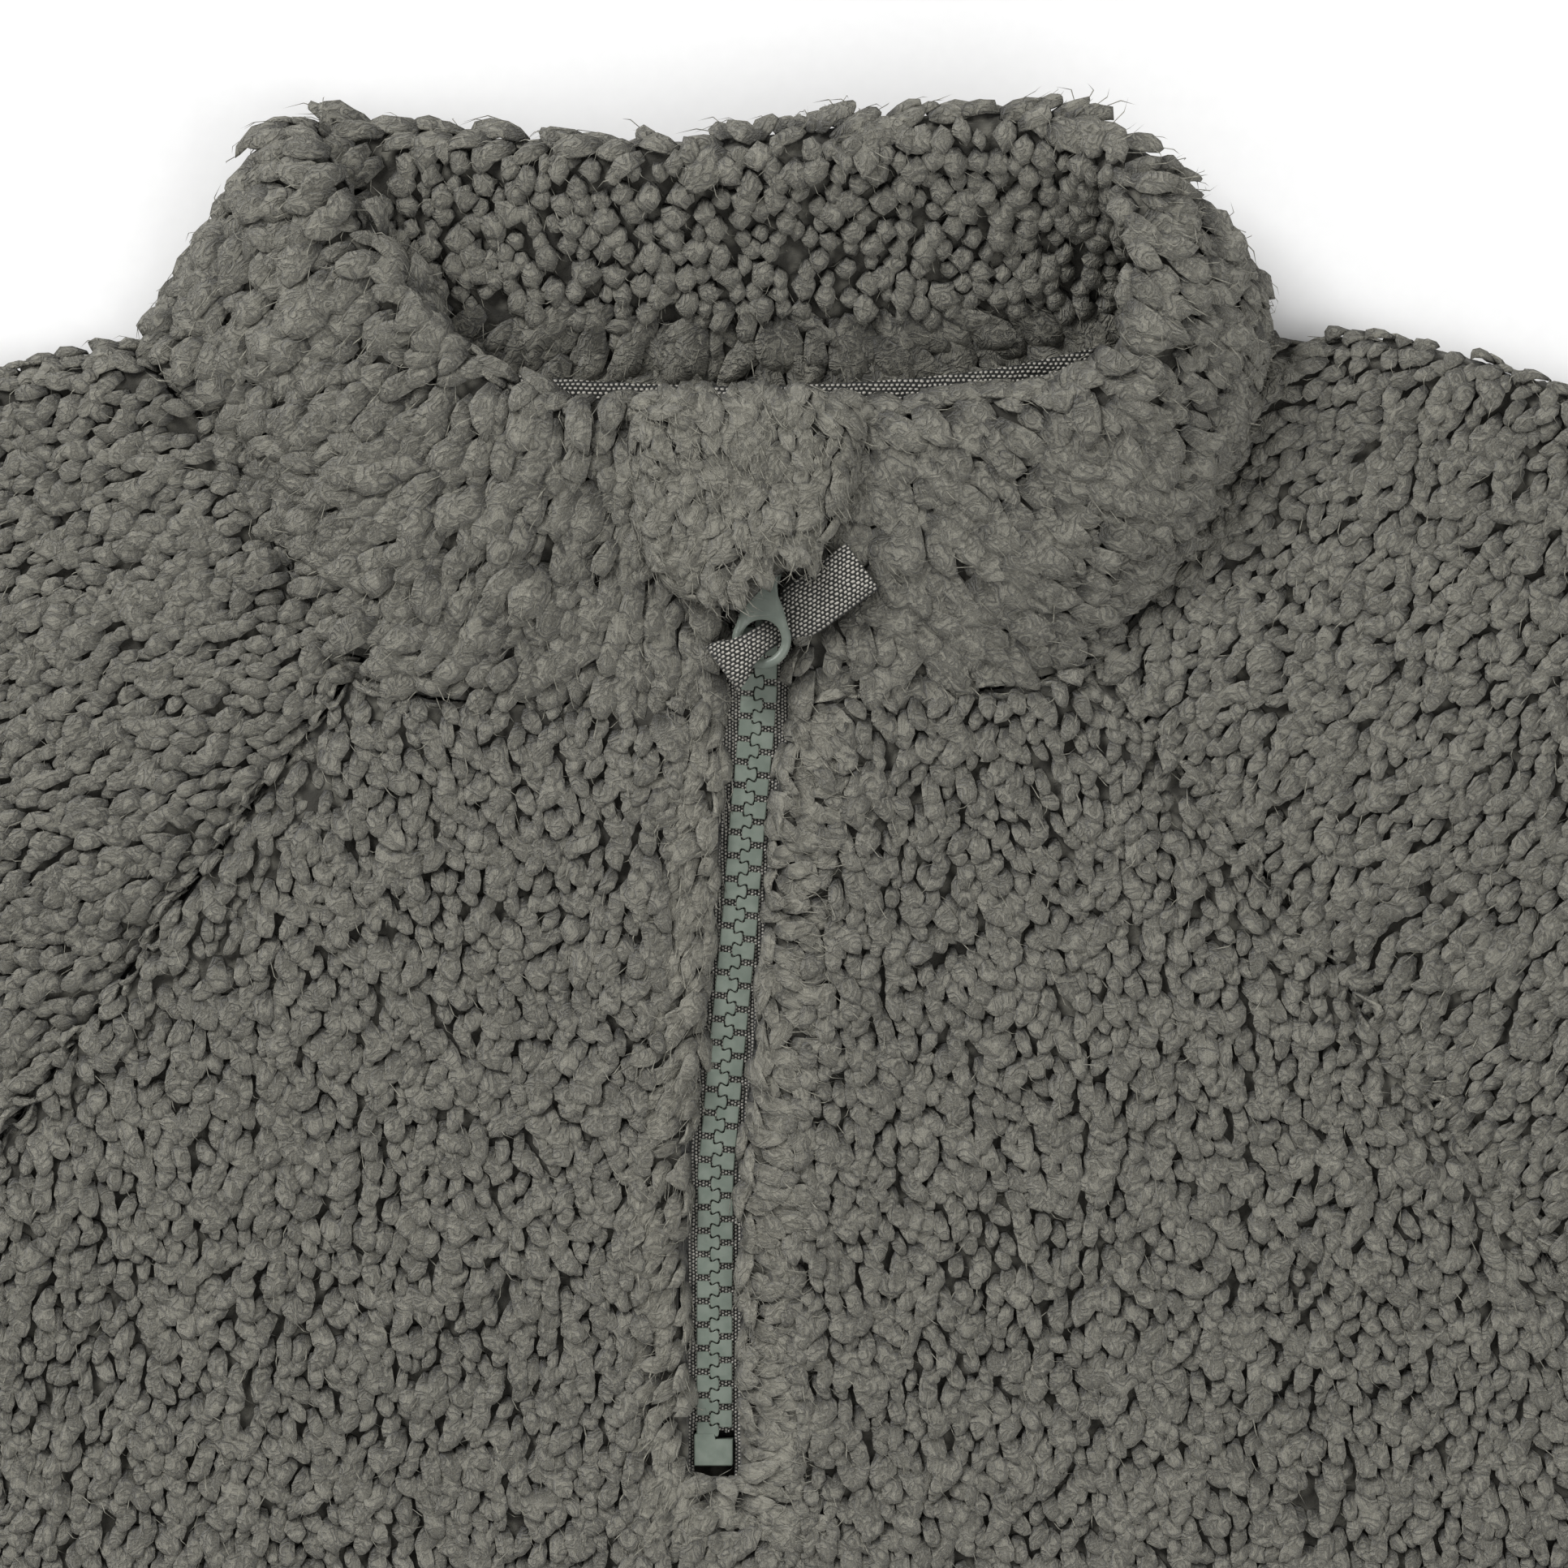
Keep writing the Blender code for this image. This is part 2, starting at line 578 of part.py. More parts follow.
def chin_guard():
    """Tongue of brushed fleece from the rim down over the slider. Its mouth stands clear of the puller."""
    left = collar_outer[:, :8]
    right = collar_outer[:, -8:]
    shape = np.array(GUARD_SHAPE)
    spread = np.array([-1.0, -0.86, -0.6, -0.3, 0.0, 0.3, 0.6, 0.86, 1.0])
    rim_row = 8
    outer, inner = [], []
    base_rows = []
    for row in range(rim_row + 2):
        line = np.vstack([left[row][::-1], right[row][::-1]])
        order = np.argsort(line[:, 0])
        base_rows.append(line[order])
    centre_y = np.array([float(np.interp(4.6, r[:, 0], r[:, 1])) for r in base_rows])
    start = float(np.interp(GUARD_TIP_Y, centre_y[:8], np.arange(8)))
    positions = np.concatenate([np.linspace(start, 7.0, 8), [8.0, 9.0]])
    for k, position in enumerate(positions):
        share = min((position - start) / (7.0 - start), 1.0)
        middle = float(np.interp(share, shape[:, 0], shape[:, 1]))
        half = float(np.interp(share, shape[:, 0], shape[:, 2]))
        lower = base_rows[int(math.floor(position))]
        upper = base_rows[min(int(math.ceil(position)), len(base_rows) - 1)]
        part = position - math.floor(position)
        row_out, row_in = [], []
        for s in spread:
            x = middle + half * s
            low_y, low_z = (float(np.interp(x, lower[:, 0], lower[:, c])) for c in (1, 2))
            high_y, high_z = (float(np.interp(x, upper[:, 0], upper[:, c])) for c in (1, 2))
            y = low_y + (high_y - low_y) * part
            z = low_z + (high_z - low_z) * part
            tilt = math.radians(16.0) if position < 7.5 else math.radians(-25.0 - 22.0 * (position - 8.0))
            lean = np.array([0.0, -math.sin(tilt), math.cos(tilt)])
            mouth = (1.0 - float(ease((abs(x - 4.6) - 3.4) / 6.5))) * GUARD_MOUTH_LIFT
            mouth *= 1.0 - float(ease((share - 0.25) / 0.45))
            edge = 1.0 - abs(s)
            rounded = math.sqrt(max(0.0, 1.0 - (1.0 - min(1.0, edge / 0.4)) ** 2))
            ends = 0.45 + 0.55 * float(ease(share / 0.3))
            thick = 1.3 + (GUARD_THICK - 1.3) * rounded * ends
            bottom = np.array([x, y, z]) + lean * (0.4 + mouth)
            row_in.append(bottom)
            row_out.append(bottom + lean * thick)
        outer.append(row_out)
        inner.append(row_in)
    return cloth("chin_guard", np.array(outer), np.array(inner), BRUSHED)


def plate(name, outline, bottom, top, colour, roughness):
    """A flat plate with the outline's shape, in plan."""
    outline = np.array(outline)
    count = len(outline)
    points = np.vstack([
        np.column_stack([outline, np.full(count, top)]),
        np.column_stack([outline, np.full(count, bottom)]),
    ])
    faces = [list(range(count)), list(range(2 * count - 1, count - 1, -1))]
    for k in range(count):
        following = (k + 1) % count
        faces.append([k, count + k, count + following, following])
    points = place(points)
    return mesh_object(name, points, facing_out(points, faces), colour, roughness)


def slider():
    """Slider body: a plate that widens to the shoulders, round the top of the closed chain."""
    x, z = zip_at(SLIDER_Y)
    outline = [(-3.1, -5.2), (3.1, -5.2), (3.9, -1.0), (3.9, 3.0), (2.4, 4.6), (-2.4, 4.6), (-3.9, 3.0), (-3.9, -1.0)]
    outline = [(float(x) + a, SLIDER_Y + b) for a, b in outline]
    top = PIVOT_Z - PULL_THICK / 2 - SLIDER_CLEAR
    return plate("slider", outline, float(z) - 2.4, top, PLASTIC, 0.35)


def pull_frame():
    """Pivot of the puller and the directions along it and across it, in plan."""
    x, _ = zip_at(SLIDER_Y)
    pivot = np.array([float(x) + 0.6, SLIDER_Y])
    along = unit(np.array([-0.035, -1.0]))
    across = np.array([-along[1], along[0]])
    return pivot, along, across


def puller(parent):
    """Ring puller: a short shank from the pivot that opens into a ring."""
    pivot, along, across = pull_frame()
    centre = PULL_REACH - RING_OUTER
    meet = math.pi - math.asin(SHANK_SPREAD / RING_OUTER)
    half = [(centre + RING_OUTER * math.cos(t), RING_OUTER * math.sin(t)) for t in np.linspace(0.0, meet, 12)]
    half += [(9.4, 3.4), (7.4, 2.5), (5.8, SHANK_HALF), (0.2, SHANK_HALF), (-1.0, 1.7), (-PULL_HEEL, 0.0)]
    outline = half + [(a, -b) for a, b in half[-2:0:-1]]
    angles = list(np.linspace(0.0, meet, 12)) + list(np.linspace(meet, math.pi, 7)[1:])
    angles += [-t for t in angles[-2:0:-1]]
    outer = [pivot + along * a + across * b for a, b in outline]
    hole = [pivot + along * (centre + RING_HOLE * math.cos(t)) + across * RING_HOLE * math.sin(t) for t in angles]
    count = len(outer)
    loops = []
    for ring, side in ((outer, 0.5), (hole, 0.5), (hole, -0.5), (outer, -0.5)):
        loops.append(np.column_stack([np.array(ring), np.full(count, PIVOT_Z + PULL_THICK * side)]))
    points = place(np.vstack(loops))
    faces = []
    for i in range(4):
        for k in range(count):
            a, b = i * count + k, i * count + (k + 1) % count
            c, d = ((i + 1) % 4) * count + (k + 1) % count, ((i + 1) % 4) * count + k
            faces.append([a, b, c, d])
    made = mesh_object("zip_pull", points, facing_out(points, faces), PLASTIC, 0.35)
    hang_on(made, parent)
    return made


def pull_tab(parent):
    """Webbing threaded through the ring: its free end up to the right, its turned end round the ring's left limb."""
    pivot, along, _ = pull_frame()
    centre = pivot + along * (PULL_REACH - RING_OUTER)
    table = smooth_path(TAB_PATH, np.linspace(0.0, 1.0, 30))
    direction = np.array(TAB_DIRECTION)
    sideways = np.array([-direction[1], direction[0], 0.0])
    line = np.column_stack([centre + table[:, :1] * direction, PIVOT_Z + table[:, 1]])
    forward = unit(np.gradient(line, axis=0))
    up = unit(np.cross(forward, sideways))
    half = np.maximum(table[:, 2], 2.0)
    sheet = np.array([line + sideways * (half * s)[:, None] for s in (-1.0, 0.0, 1.0)])
    lift = up * (TAB_THICK / 2)
    made = cloth("pull_tab", sheet + lift, sheet - lift, WEBBING, roughness=0.8)
    hang_on(made, parent)
    return made


def hang_on(made, parent):
    made.parent = parent
    made.matrix_parent_inverse = parent.matrix_basis.inverted()


clear_scene()
back_panel()
front_panel()
sleeve("sleeve_left", -1, LEFT_EDGE)
sleeve("sleeve_right", 1, RIGHT_EDGE)
cloth("collar", collar_outer, collar_inner, FLEECE)
neck_tape()
zip_tape("zip_tape_left", -1)
zip_tape("zip_tape_right", 1)
zip_bar("zip_chain", STOP_Y[1] + 0.3, SLIDER_Y - 5.6, CHAIN_WIDTH, CHAIN_THICK, 20)
zip_bar("zip_stop", STOP_Y[0], STOP_Y[1], CHAIN_WIDTH, CHAIN_THICK + 0.4, 2)
slider()
chin_guard()
pivot_point = place((*pull_frame()[0], PIVOT_Z))
pull_pivot = bpy.data.objects.new("pull_pivot", None)
pull_pivot.location = pivot_point
bpy.context.scene.collection.objects.link(pull_pivot)
puller(pull_pivot)
pull_tab(pull_pivot)
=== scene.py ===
import json
import math
import random

import bmesh
import bpy
import numpy as np
from mathutils import Matrix, Vector
from mathutils.bvhtree import BVHTree

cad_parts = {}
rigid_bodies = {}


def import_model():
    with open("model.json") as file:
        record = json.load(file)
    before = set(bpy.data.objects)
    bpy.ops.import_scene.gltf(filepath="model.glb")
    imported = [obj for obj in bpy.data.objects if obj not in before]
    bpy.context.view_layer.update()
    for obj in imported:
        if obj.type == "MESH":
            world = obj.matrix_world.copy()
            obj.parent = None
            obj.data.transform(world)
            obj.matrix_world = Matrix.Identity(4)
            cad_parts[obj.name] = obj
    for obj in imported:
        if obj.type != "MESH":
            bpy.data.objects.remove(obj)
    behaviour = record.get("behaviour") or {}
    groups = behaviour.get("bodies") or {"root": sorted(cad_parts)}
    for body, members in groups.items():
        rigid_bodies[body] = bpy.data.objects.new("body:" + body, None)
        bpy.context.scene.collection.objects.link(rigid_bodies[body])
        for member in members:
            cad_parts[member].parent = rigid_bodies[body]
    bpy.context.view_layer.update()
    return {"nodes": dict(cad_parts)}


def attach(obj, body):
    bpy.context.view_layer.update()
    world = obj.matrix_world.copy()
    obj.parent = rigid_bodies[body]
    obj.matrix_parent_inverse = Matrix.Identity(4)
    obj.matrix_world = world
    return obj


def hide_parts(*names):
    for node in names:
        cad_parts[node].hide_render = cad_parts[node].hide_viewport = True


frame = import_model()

# ---- Back ---------------------------------------------------------------------------------------------------------
# The back panel lies face down on the surface. It is a knitted ground with a curled pile, cut in one piece, and its
# underside is pressed flat. The ground is its solid's form, let in by the depth of the pile.

MM = 0.001
NECK_LEVEL = 212.73
PILE_DEPTH = 2.1
GROUND_STEP = 10.0
SEAM_REACH = 2.2
PILE_CLEARANCE = 1.9
COVER_REACH = 6.5
BACK_CREASES = [
    (-150.0, -330.0, -60.0, -300.0, 0.7, 10.0),
    (40.0, -380.0, 150.0, -350.0, 0.8, 12.0),
    (-20.0, -250.0, 90.0, -215.0, 0.6, 9.0),
]


class Value:
    """A number socket that grows Math nodes when Python does sums with it."""

    def __init__(self, wires, socket):
        self.wires = wires
        self.socket = socket

    def sum_with(self, operation, *values):
        made = self.wires.node("ShaderNodeMath", {"operation": operation}, dict(enumerate(values)))
        return Value(self.wires, made.outputs[0])

    def __add__(self, other):
        return self.sum_with("ADD", self, other)

    __radd__ = __add__

    def __sub__(self, other):
        return self.sum_with("SUBTRACT", self, other)

    def __rsub__(self, other):
        return self.sum_with("SUBTRACT", other, self)

    def __mul__(self, other):
        return self.sum_with("MULTIPLY", self, other)

    __rmul__ = __mul__

    def __truediv__(self, other):
        return self.sum_with("DIVIDE", self, other)

    def __rtruediv__(self, other):
        return self.sum_with("DIVIDE", other, self)

    def passed(self, operation):
        return self.sum_with(operation, self)

    def between(self, low, high):
        eased = {"interpolation_type": "SMOOTHSTEP"}
        made = self.wires.node("ShaderNodeMapRange", eased, {"Value": self, "From Min": low, "From Max": high})
        return Value(self.wires, made.outputs["Result"])


class Wires:
    """Builds the nodes of one material or one Geometry Nodes tree."""

    def __init__(self, tree):
        self.tree = tree

    def node(self, kind, settings=None, inputs=None):
        made = self.tree.nodes.new(kind)
        for name, value in (settings or {}).items():
            if name == "stops":
                ramp = made.color_ramp
                for place, colour in value[1:-1]:
                    ramp.elements.new(place).color = (*colour, 1.0)
                ramp.elements[0].position, ramp.elements[-1].position = value[0][0], value[-1][0]
                ramp.elements[0].color, ramp.elements[-1].color = (*value[0][1], 1.0), (*value[-1][1], 1.0)
            else:
                setattr(made, name, value)
        for name, value in (inputs or {}).items():
            if isinstance(value, Value):
                value = value.socket
            if isinstance(value, bpy.types.NodeSocket):
                self.tree.links.new(value, made.inputs[name])
            else:
                made.inputs[name].default_value = value
        return made

    def value(self, kind, settings=None, inputs=None, output=0):
        return Value(self, self.node(kind, settings, inputs).outputs[output])

    def noise(self, where, scale, detail=3.0, distortion=0.0, output=0):
        sockets = {"Vector": where, "Scale": scale, "Detail": detail, "Distortion": distortion}
        return self.value("ShaderNodeTexNoise", None, sockets, output)

    def tint(self, how_far, low, high):
        sockets = {0: how_far, 6: (*low, 1.0), 7: (*high, 1.0)}
        return self.node("ShaderNodeMix", {"data_type": "RGBA"}, sockets).outputs[2]


def finish_of(name, roughness, sheen=0.0, sheen_roughness=0.5, specular=0.5):
    """An empty Principled material, its wires, its shader and its Object coordinates."""
    made = bpy.data.materials.new(name)
    made.use_nodes = True
    wires = Wires(made.node_tree)
    shader = next(n for n in made.node_tree.nodes if n.type == "BSDF_PRINCIPLED")
    shader.inputs["Roughness"].default_value = roughness
    shader.inputs["Sheen Weight"].default_value = sheen
    shader.inputs["Sheen Roughness"].default_value = sheen_roughness
    shader.inputs["Specular IOR Level"].default_value = specular
    where = wires.node("ShaderNodeTexCoord").outputs["Object"]
    return made, wires, shader, where


def shaded_ground_finish(name, low, high, curl):
    """The knitted ground between the tufts, coloured dark as painted shade, with the curls of the pile worked in as
    relief and more painted shade in the hollows between them.
    """
    made, wires, shader, where = finish_of(name, 0.95, 0.15, 0.6, 0.2)
    bend = wires.noise(where, 210.0, 2.0, output=1)
    drift = wires.node("ShaderNodeVectorMath", {"operation": "SCALE"}, {0: bend.socket, "Scale": 0.0035}).outputs[0]
    bent = wires.node("ShaderNodeVectorMath", {"operation": "ADD"}, {0: where, 1: drift}).outputs[0]
    knots = {"Vector": bent, "Scale": 1000.0 / curl, "Smoothness": 0.35}
    curls = wires.value("ShaderNodeTexVoronoi", {"feature": "SMOOTH_F1"}, knots)
    hairs = wires.noise(where, 2100.0, 3.0, 0.6)
    height = (1.0 - curls) * 0.8 + hairs * 0.25
    # Painted shade: the colour darkens from the middle of each curl to the hollow at its edge, where the relief dips.
    colour = wires.tint(curls.between(0.62, 0.2), low, high)
    wires.tree.links.new(colour, shader.inputs["Base Color"])
    relief = {"Height": height, "Strength": 0.9, "Distance": 0.0016}
    wires.tree.links.new(wires.node("ShaderNodeBump", None, relief).outputs[0], shader.inputs["Normal"])
    return made


# The dark colours of this ground are painted shade for the crevices under the pile.
SHADED_GROUND = shaded_ground_finish("fleece_ground", (0.045, 0.043, 0.036), (0.15, 0.145, 0.122), 3.2)


def crease_depth(x, y, creases):
    """How far a point is let down by the creases near it, in millimetres."""
    depth = 0.0
    for x0, y0, x1, y1, most, width in creases:
        run = (x1 - x0) ** 2 + (y1 - y0) ** 2
        along = ((x - x0) * (x1 - x0) + (y - y0) * (y1 - y0)) / run
        near = min(max(along, 0.0), 1.0)
        away = math.hypot(x - x0 - near * (x1 - x0), y - y0 - near * (y1 - y0))
        depth += most * math.exp(-((away / width) ** 2)) * (0.35 + 0.65 * math.sin(math.pi * near))
    return depth


SOLIDS = bmesh.new()
for solid in frame["nodes"].values():
    SOLIDS.from_mesh(solid.data)
COVER = BVHTree.FromBMesh(SOLIDS)
SOLIDS.free()


def at_seam(place, facing):
    """True where a side wall looks at the neighbour that it is sewn to."""
    sideways = Vector((facing.x, facing.y, 0.0))
    if sideways.length < 0.25:
        return False
    sideways.normalize()
    for drop in (0.0, -1.2):
        start = place + sideways * 0.1 * MM + Vector((0.0, 0.0, drop * MM))
        if COVER.ray_cast(start, sideways, SEAM_REACH * MM)[0] is not None:
            return True
    return False


def laid_cloth(name, node, let_in, step=GROUND_STEP, creases=(), rests_below=99.0):
    """A merged copy of a solid's mesh, let in along its normals except where it rests, with its creases."""
    form = bmesh.new()
    form.from_mesh(frame["nodes"][node].data)
    bmesh.ops.remove_doubles(form, verts=form.verts, dist=0.00001)
    for _ in range(7):
        long = [e for e in form.edges if e.calc_length() > step * MM]
        if not long:
            break
        bmesh.ops.subdivide_edges(form, edges=long, cuts=1)
        bmesh.ops.triangulate(form, faces=[f for f in form.faces if len(f.verts) > 3])
    form.normal_update()
    moves = []
    for corner in form.verts:
        x, y, z = (v / MM for v in corner.co)
        facing = corner.normal.copy()
        resting = facing.z < -0.6 and z < rests_below
        depth = 0.0 if resting else let_in
        if facing.z > 0.3:
            depth += crease_depth(x, y - NECK_LEVEL, creases)
        if let_in and at_seam(corner.co, facing):
            facing = Vector((0.0, 0.0, 1.0 if facing.z > 0.0 else 0.0))
        moved = corner.co - facing * depth * MM
        moved.z = max(moved.z, 0.0)
        moves.append(moved)
    for corner, moved in zip(form.verts, moves):
        corner.co = moved
    form.normal_update()
    cloth = bpy.data.meshes.new(name)
    form.to_mesh(cloth)
    form.free()
    for face in cloth.polygons:
        face.use_smooth = True
    made = bpy.data.objects.new(name, cloth)
    bpy.context.scene.collection.objects.link(made)
    return made


back = laid_cloth("back_ground", "back", PILE_DEPTH, creases=BACK_CREASES)
back.data.materials.append(SHADED_GROUND)
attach(back, "garment")
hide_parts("back")

# ---- Zip tapes ----------------------------------------------------------------------------------------------------
# Two woven polyester tapes carry the teeth. Each is sewn under the edge of the front's slit, and its pale yarn floats
# over a dark one in columns of fine beads, 0.6 mm apart.

RIB_PITCH = 0.62
WEAVE_LOW = (0.028, 0.029, 0.026)
WEAVE_HIGH = (0.56, 0.535, 0.48)


def woven_finish(name, bead, row, run=(0.0, 1.0), pale=0.5, roughness=0.85):
    """Woven heather tape: pale yarn floats in rows of beads over a dark ground, each row set half a bead on."""
    made, wires, shader, where = finish_of(name, roughness, 0.1, 0.5, 0.3)
    axes = {"operation": "DOT_PRODUCT"}
    along = wires.value("ShaderNodeVectorMath", axes, {0: where, 1: (*run, 0.0)}, "Value")
    aside = wires.value("ShaderNodeVectorMath", axes, {0: where, 1: (run[1], -run[0], 0.0)}, "Value")
    sway = wires.noise(where, 330.0, 2.0) * 0.9
    lines = aside * (1.0 / (row * MM)) + sway
    steps = along * (1.0 / (bead * MM)) + lines.passed("FLOOR") * 0.5 + sway
    floats = (steps * math.pi).passed("SINE").passed("ABSOLUTE") * (lines * math.pi).passed("SINE").passed("ABSOLUTE")
    yarns = wires.noise(where, 1500.0, 2.0)
    seen = (floats + yarns * 0.9 - 0.45).between(0.9 - pale, 1.25 - pale)
    wires.tree.links.new(wires.tint(seen, WEAVE_LOW, WEAVE_HIGH), shader.inputs["Base Color"])
    relief = {"Height": floats + yarns * 0.3, "Strength": 1.0, "Distance": 0.0004}
    wires.tree.links.new(wires.node("ShaderNodeBump", None, relief).outputs[0], shader.inputs["Normal"])
    return made


TAPE_FINISH = woven_finish("zip_tape_weave", RIB_PITCH, 0.55, pale=0.62)
tapes = []
for side in ("left", "right"):
    tape = laid_cloth(f"woven_tape_{side}", f"zip_tape_{side}", 0.0, step=9.0)
    tape.data.materials.append(TAPE_FINISH)
    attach(tape, "garment")
    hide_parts(f"zip_tape_{side}")
    tapes.append(tape)

# ---- Zip teeth ----------------------------------------------------------------------------------------------------
# Number 5 teeth of moulded plastic, each with a square body and a two-lobed head that locks between the heads of the
# other side. They sit every 3.88 mm along each tape, in a satin sage green, with the tapes' edges below them.

TOOTH_PITCH = 3.88
TOOTH_OUTLINE = [
    (-2.98, -1.3),
    (-2.85, -1.43),
    (-1.02, -1.43),
    (-0.88, -1.3),
    (-0.82, -0.86),
    (-0.62, -0.7),
    (-0.36, -0.72),
    (-0.05, -0.86),
    (0.25, -1.03),
    (0.46, -1.03),
    (0.62, -0.88),
    (0.74, -0.5),
    (0.8, 0.0),
]
TOOTH_TOP = 1.4
TOOTH_RUN = [
    (-185.0, -3.0, 7.0),
    (-165.0, -3.0, 7.0),
    (-142.0, -2.8, 7.0),
    (-121.0, -0.9, 7.0),
    (-100.0, 1.2, 7.0),
    (-82.0, 2.6, 7.0),
    (-69.0, 3.9, 7.0),
    (-62.0, 4.4, 7.8),
    (-50.0, 4.6, 9.6),
    (-44.5, 4.7, 10.6),
]


def plastic_finish(name, low, high, roughness):
    """Satin moulded plastic: a faint flow of tone, and a fine grain from the mould."""
    made, wires, shader, where = finish_of(name, roughness, 0.0, 0.5, 0.45)
    flow = wires.noise(where, 420.0, 3.0)
    grain = wires.noise(where, 3800.0, 2.0)
    wires.tree.links.new(wires.tint(flow.between(0.3, 0.72), low, high), shader.inputs["Base Color"])
    wires.tree.links.new((grain * 0.12 + (roughness - 0.06)).socket, shader.inputs["Roughness"])
    relief = {"Height": grain + flow * 0.4, "Strength": 0.25, "Distance": 0.00006}
    wires.tree.links.new(wires.node("ShaderNodeBump", None, relief).outputs[0], shader.inputs["Normal"])
    return made


def outline_block(name, outline, low, high, rounding):
    """A closed outline raised into a block with a rounded upper rim."""
    form = bmesh.new()
    corners = [Vector(p) for p in outline]
    rings = []
    for z, inward in ((low, 0.0), (high - rounding, 0.0), (high - rounding * 0.3, 0.3), (high, 1.0)):
        ring = []
        for i, corner in enumerate(corners):
            run = corners[(i + 1) % len(corners)] - corners[i - 1]
            shift = Vector((-run.y, run.x)).normalized() * rounding * inward * 0.7
            ring.append(form.verts.new(((corner.x + shift.x) * MM, (corner.y + shift.y) * MM, z * MM)))
        rings.append(ring)
    for under, over in zip(rings, rings[1:]):
        for i in range(len(outline)):
            j = (i + 1) % len(outline)
            form.faces.new((under[i], under[j], over[j], over[i]))
    form.faces.new(rings[-1])
    form.faces.new(rings[0][::-1])
    bmesh.ops.recalc_face_normals(form, faces=form.faces)
    made = bpy.data.meshes.new(name)
    form.to_mesh(made)
    form.free()
    return made


def named_inputs(tree, kinds):
    """Adds the inputs and the Geometry output of a Geometry Nodes tree, and gives its Group Input node."""
    for label, kind in kinds.items():
        tree.interface.new_socket(label, in_out="INPUT", socket_type="NodeSocket" + kind)
    tree.interface.new_socket("Geometry", in_out="OUTPUT", socket_type="NodeSocketGeometry")
    return tree.nodes.new("NodeGroupInput")


def worked(name, carrier, tree, inputs):
    """Runs a Geometry Nodes tree on a carrier mesh and gives the result as an object with a plain mesh."""
    holder = bpy.data.objects.new(name + "_carrier", carrier)
    bpy.context.scene.collection.objects.link(holder)
    step = holder.modifiers.new(name, "NODES")
    step.node_group = tree
    sockets = {item.name: item.identifier for item in tree.interface.items_tree if item.in_out == "INPUT"}
    for label, value in inputs.items():
        step[sockets[label]] = value
    bpy.context.view_layer.update()
    ready = holder.evaluated_get(bpy.context.evaluated_depsgraph_get())
    plain = bpy.data.meshes.new_from_object(ready)
    plain.name = name
    holder.modifiers.remove(step)
    bpy.data.objects.remove(holder)
    made = bpy.data.objects.new(name, plain)
    bpy.context.scene.collection.objects.link(made)
    return made


def teeth_tree():
    """Teeth set along a path, turned about on every other point, so that the two sides lock."""
    tree = bpy.data.node_groups.new("zip_teeth", "GeometryNodeTree")
    kinds = {"Path": "Geometry", "Tooth": "Object", "Half pitch": "Float", "Finish": "Material"}
    given = named_inputs(tree, kinds).outputs
    wires = Wires(tree)
    curve = wires.node("GeometryNodeMeshToCurve", None, {"Mesh": given["Path"]}).outputs[0]
    spacing = {"Curve": curve, "Length": given["Half pitch"]}
    dots = wires.node("GeometryNodeResampleCurve", {"mode": "LENGTH"}, spacing).outputs[0]
    tangent = wires.node("GeometryNodeInputTangent").outputs[0]
    along = {"Vector": tangent}
    facing = wires.node("FunctionNodeAlignRotationToVector", {"axis": "Y", "pivot_axis": "AUTO"}, along).outputs[0]
    index = wires.value("GeometryNodeInputIndex")
    turn = index.sum_with("MODULO", index, 2.0) * math.pi
    about = {"Axis": (0.0, 0.0, 1.0), "Angle": turn}
    flip = wires.node("FunctionNodeAxisAngleToRotation", None, about).outputs[0]
    turned = {"Rotation": facing, "Rotate By": flip}
    turned = wires.node("FunctionNodeRotateRotation", {"rotation_space": "LOCAL"}, turned).outputs[0]
    tooth = wires.node("GeometryNodeObjectInfo", None, {"Object": given["Tooth"]}).outputs["Geometry"]
    placed = {"Points": dots, "Instance": tooth, "Rotation": turned}
    placed = wires.node("GeometryNodeInstanceOnPoints", None, placed).outputs[0]
    real = wires.node("GeometryNodeRealizeInstances", None, {"Geometry": placed}).outputs[0]
    done = wires.node("GeometryNodeSetMaterial", None, {"Geometry": real, "Material": given["Finish"]}).outputs[0]
    wires.node("NodeGroupOutput", None, {"Geometry": done})
    return tree


TEETH_FINISH = plastic_finish("sage_teeth", (0.135, 0.165, 0.135), (0.185, 0.215, 0.18), 0.42)
full_outline = TOOTH_OUTLINE + [(x, -y) for x, y in TOOTH_OUTLINE[-2::-1]]
tooth_block = bpy.data.objects.new("tooth_block", outline_block("tooth_block", full_outline, -1.4, TOOTH_TOP, 0.22))
bpy.context.scene.collection.objects.link(tooth_block)
path = bpy.data.meshes.new("tooth_path")
stations = [Vector((x, y + NECK_LEVEL, z)) * MM for y, x, z in TOOTH_RUN]
path.from_pydata(stations, [(i, i + 1) for i in range(len(stations) - 1)], [])
inputs = {"Tooth": tooth_block, "Half pitch": TOOTH_PITCH * MM / 2, "Finish": TEETH_FINISH}
TEETH = teeth_tree()
teeth = worked("zip_teeth", path.copy(), TEETH, inputs)
bpy.data.objects.remove(tooth_block)
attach(teeth, "garment")
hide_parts("zip_chain")

THREAD_OUTLINE = [(-2.5, 1.5), (-1.7, 1.5), (-1.7, 2.35), (-2.5, 2.35)]
cord_block = bpy.data.objects.new("cord_block", outline_block("cord_block", THREAD_OUTLINE, -1.2, 0.75, 0.4))
bpy.context.scene.collection.objects.link(cord_block)
inputs = {"Tooth": cord_block, "Half pitch": TOOTH_PITCH * MM / 2, "Finish": TAPE_FINISH}
cords = worked("tooth_cords", path, TEETH, inputs)
bpy.data.objects.remove(cord_block)
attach(cords, "garment")

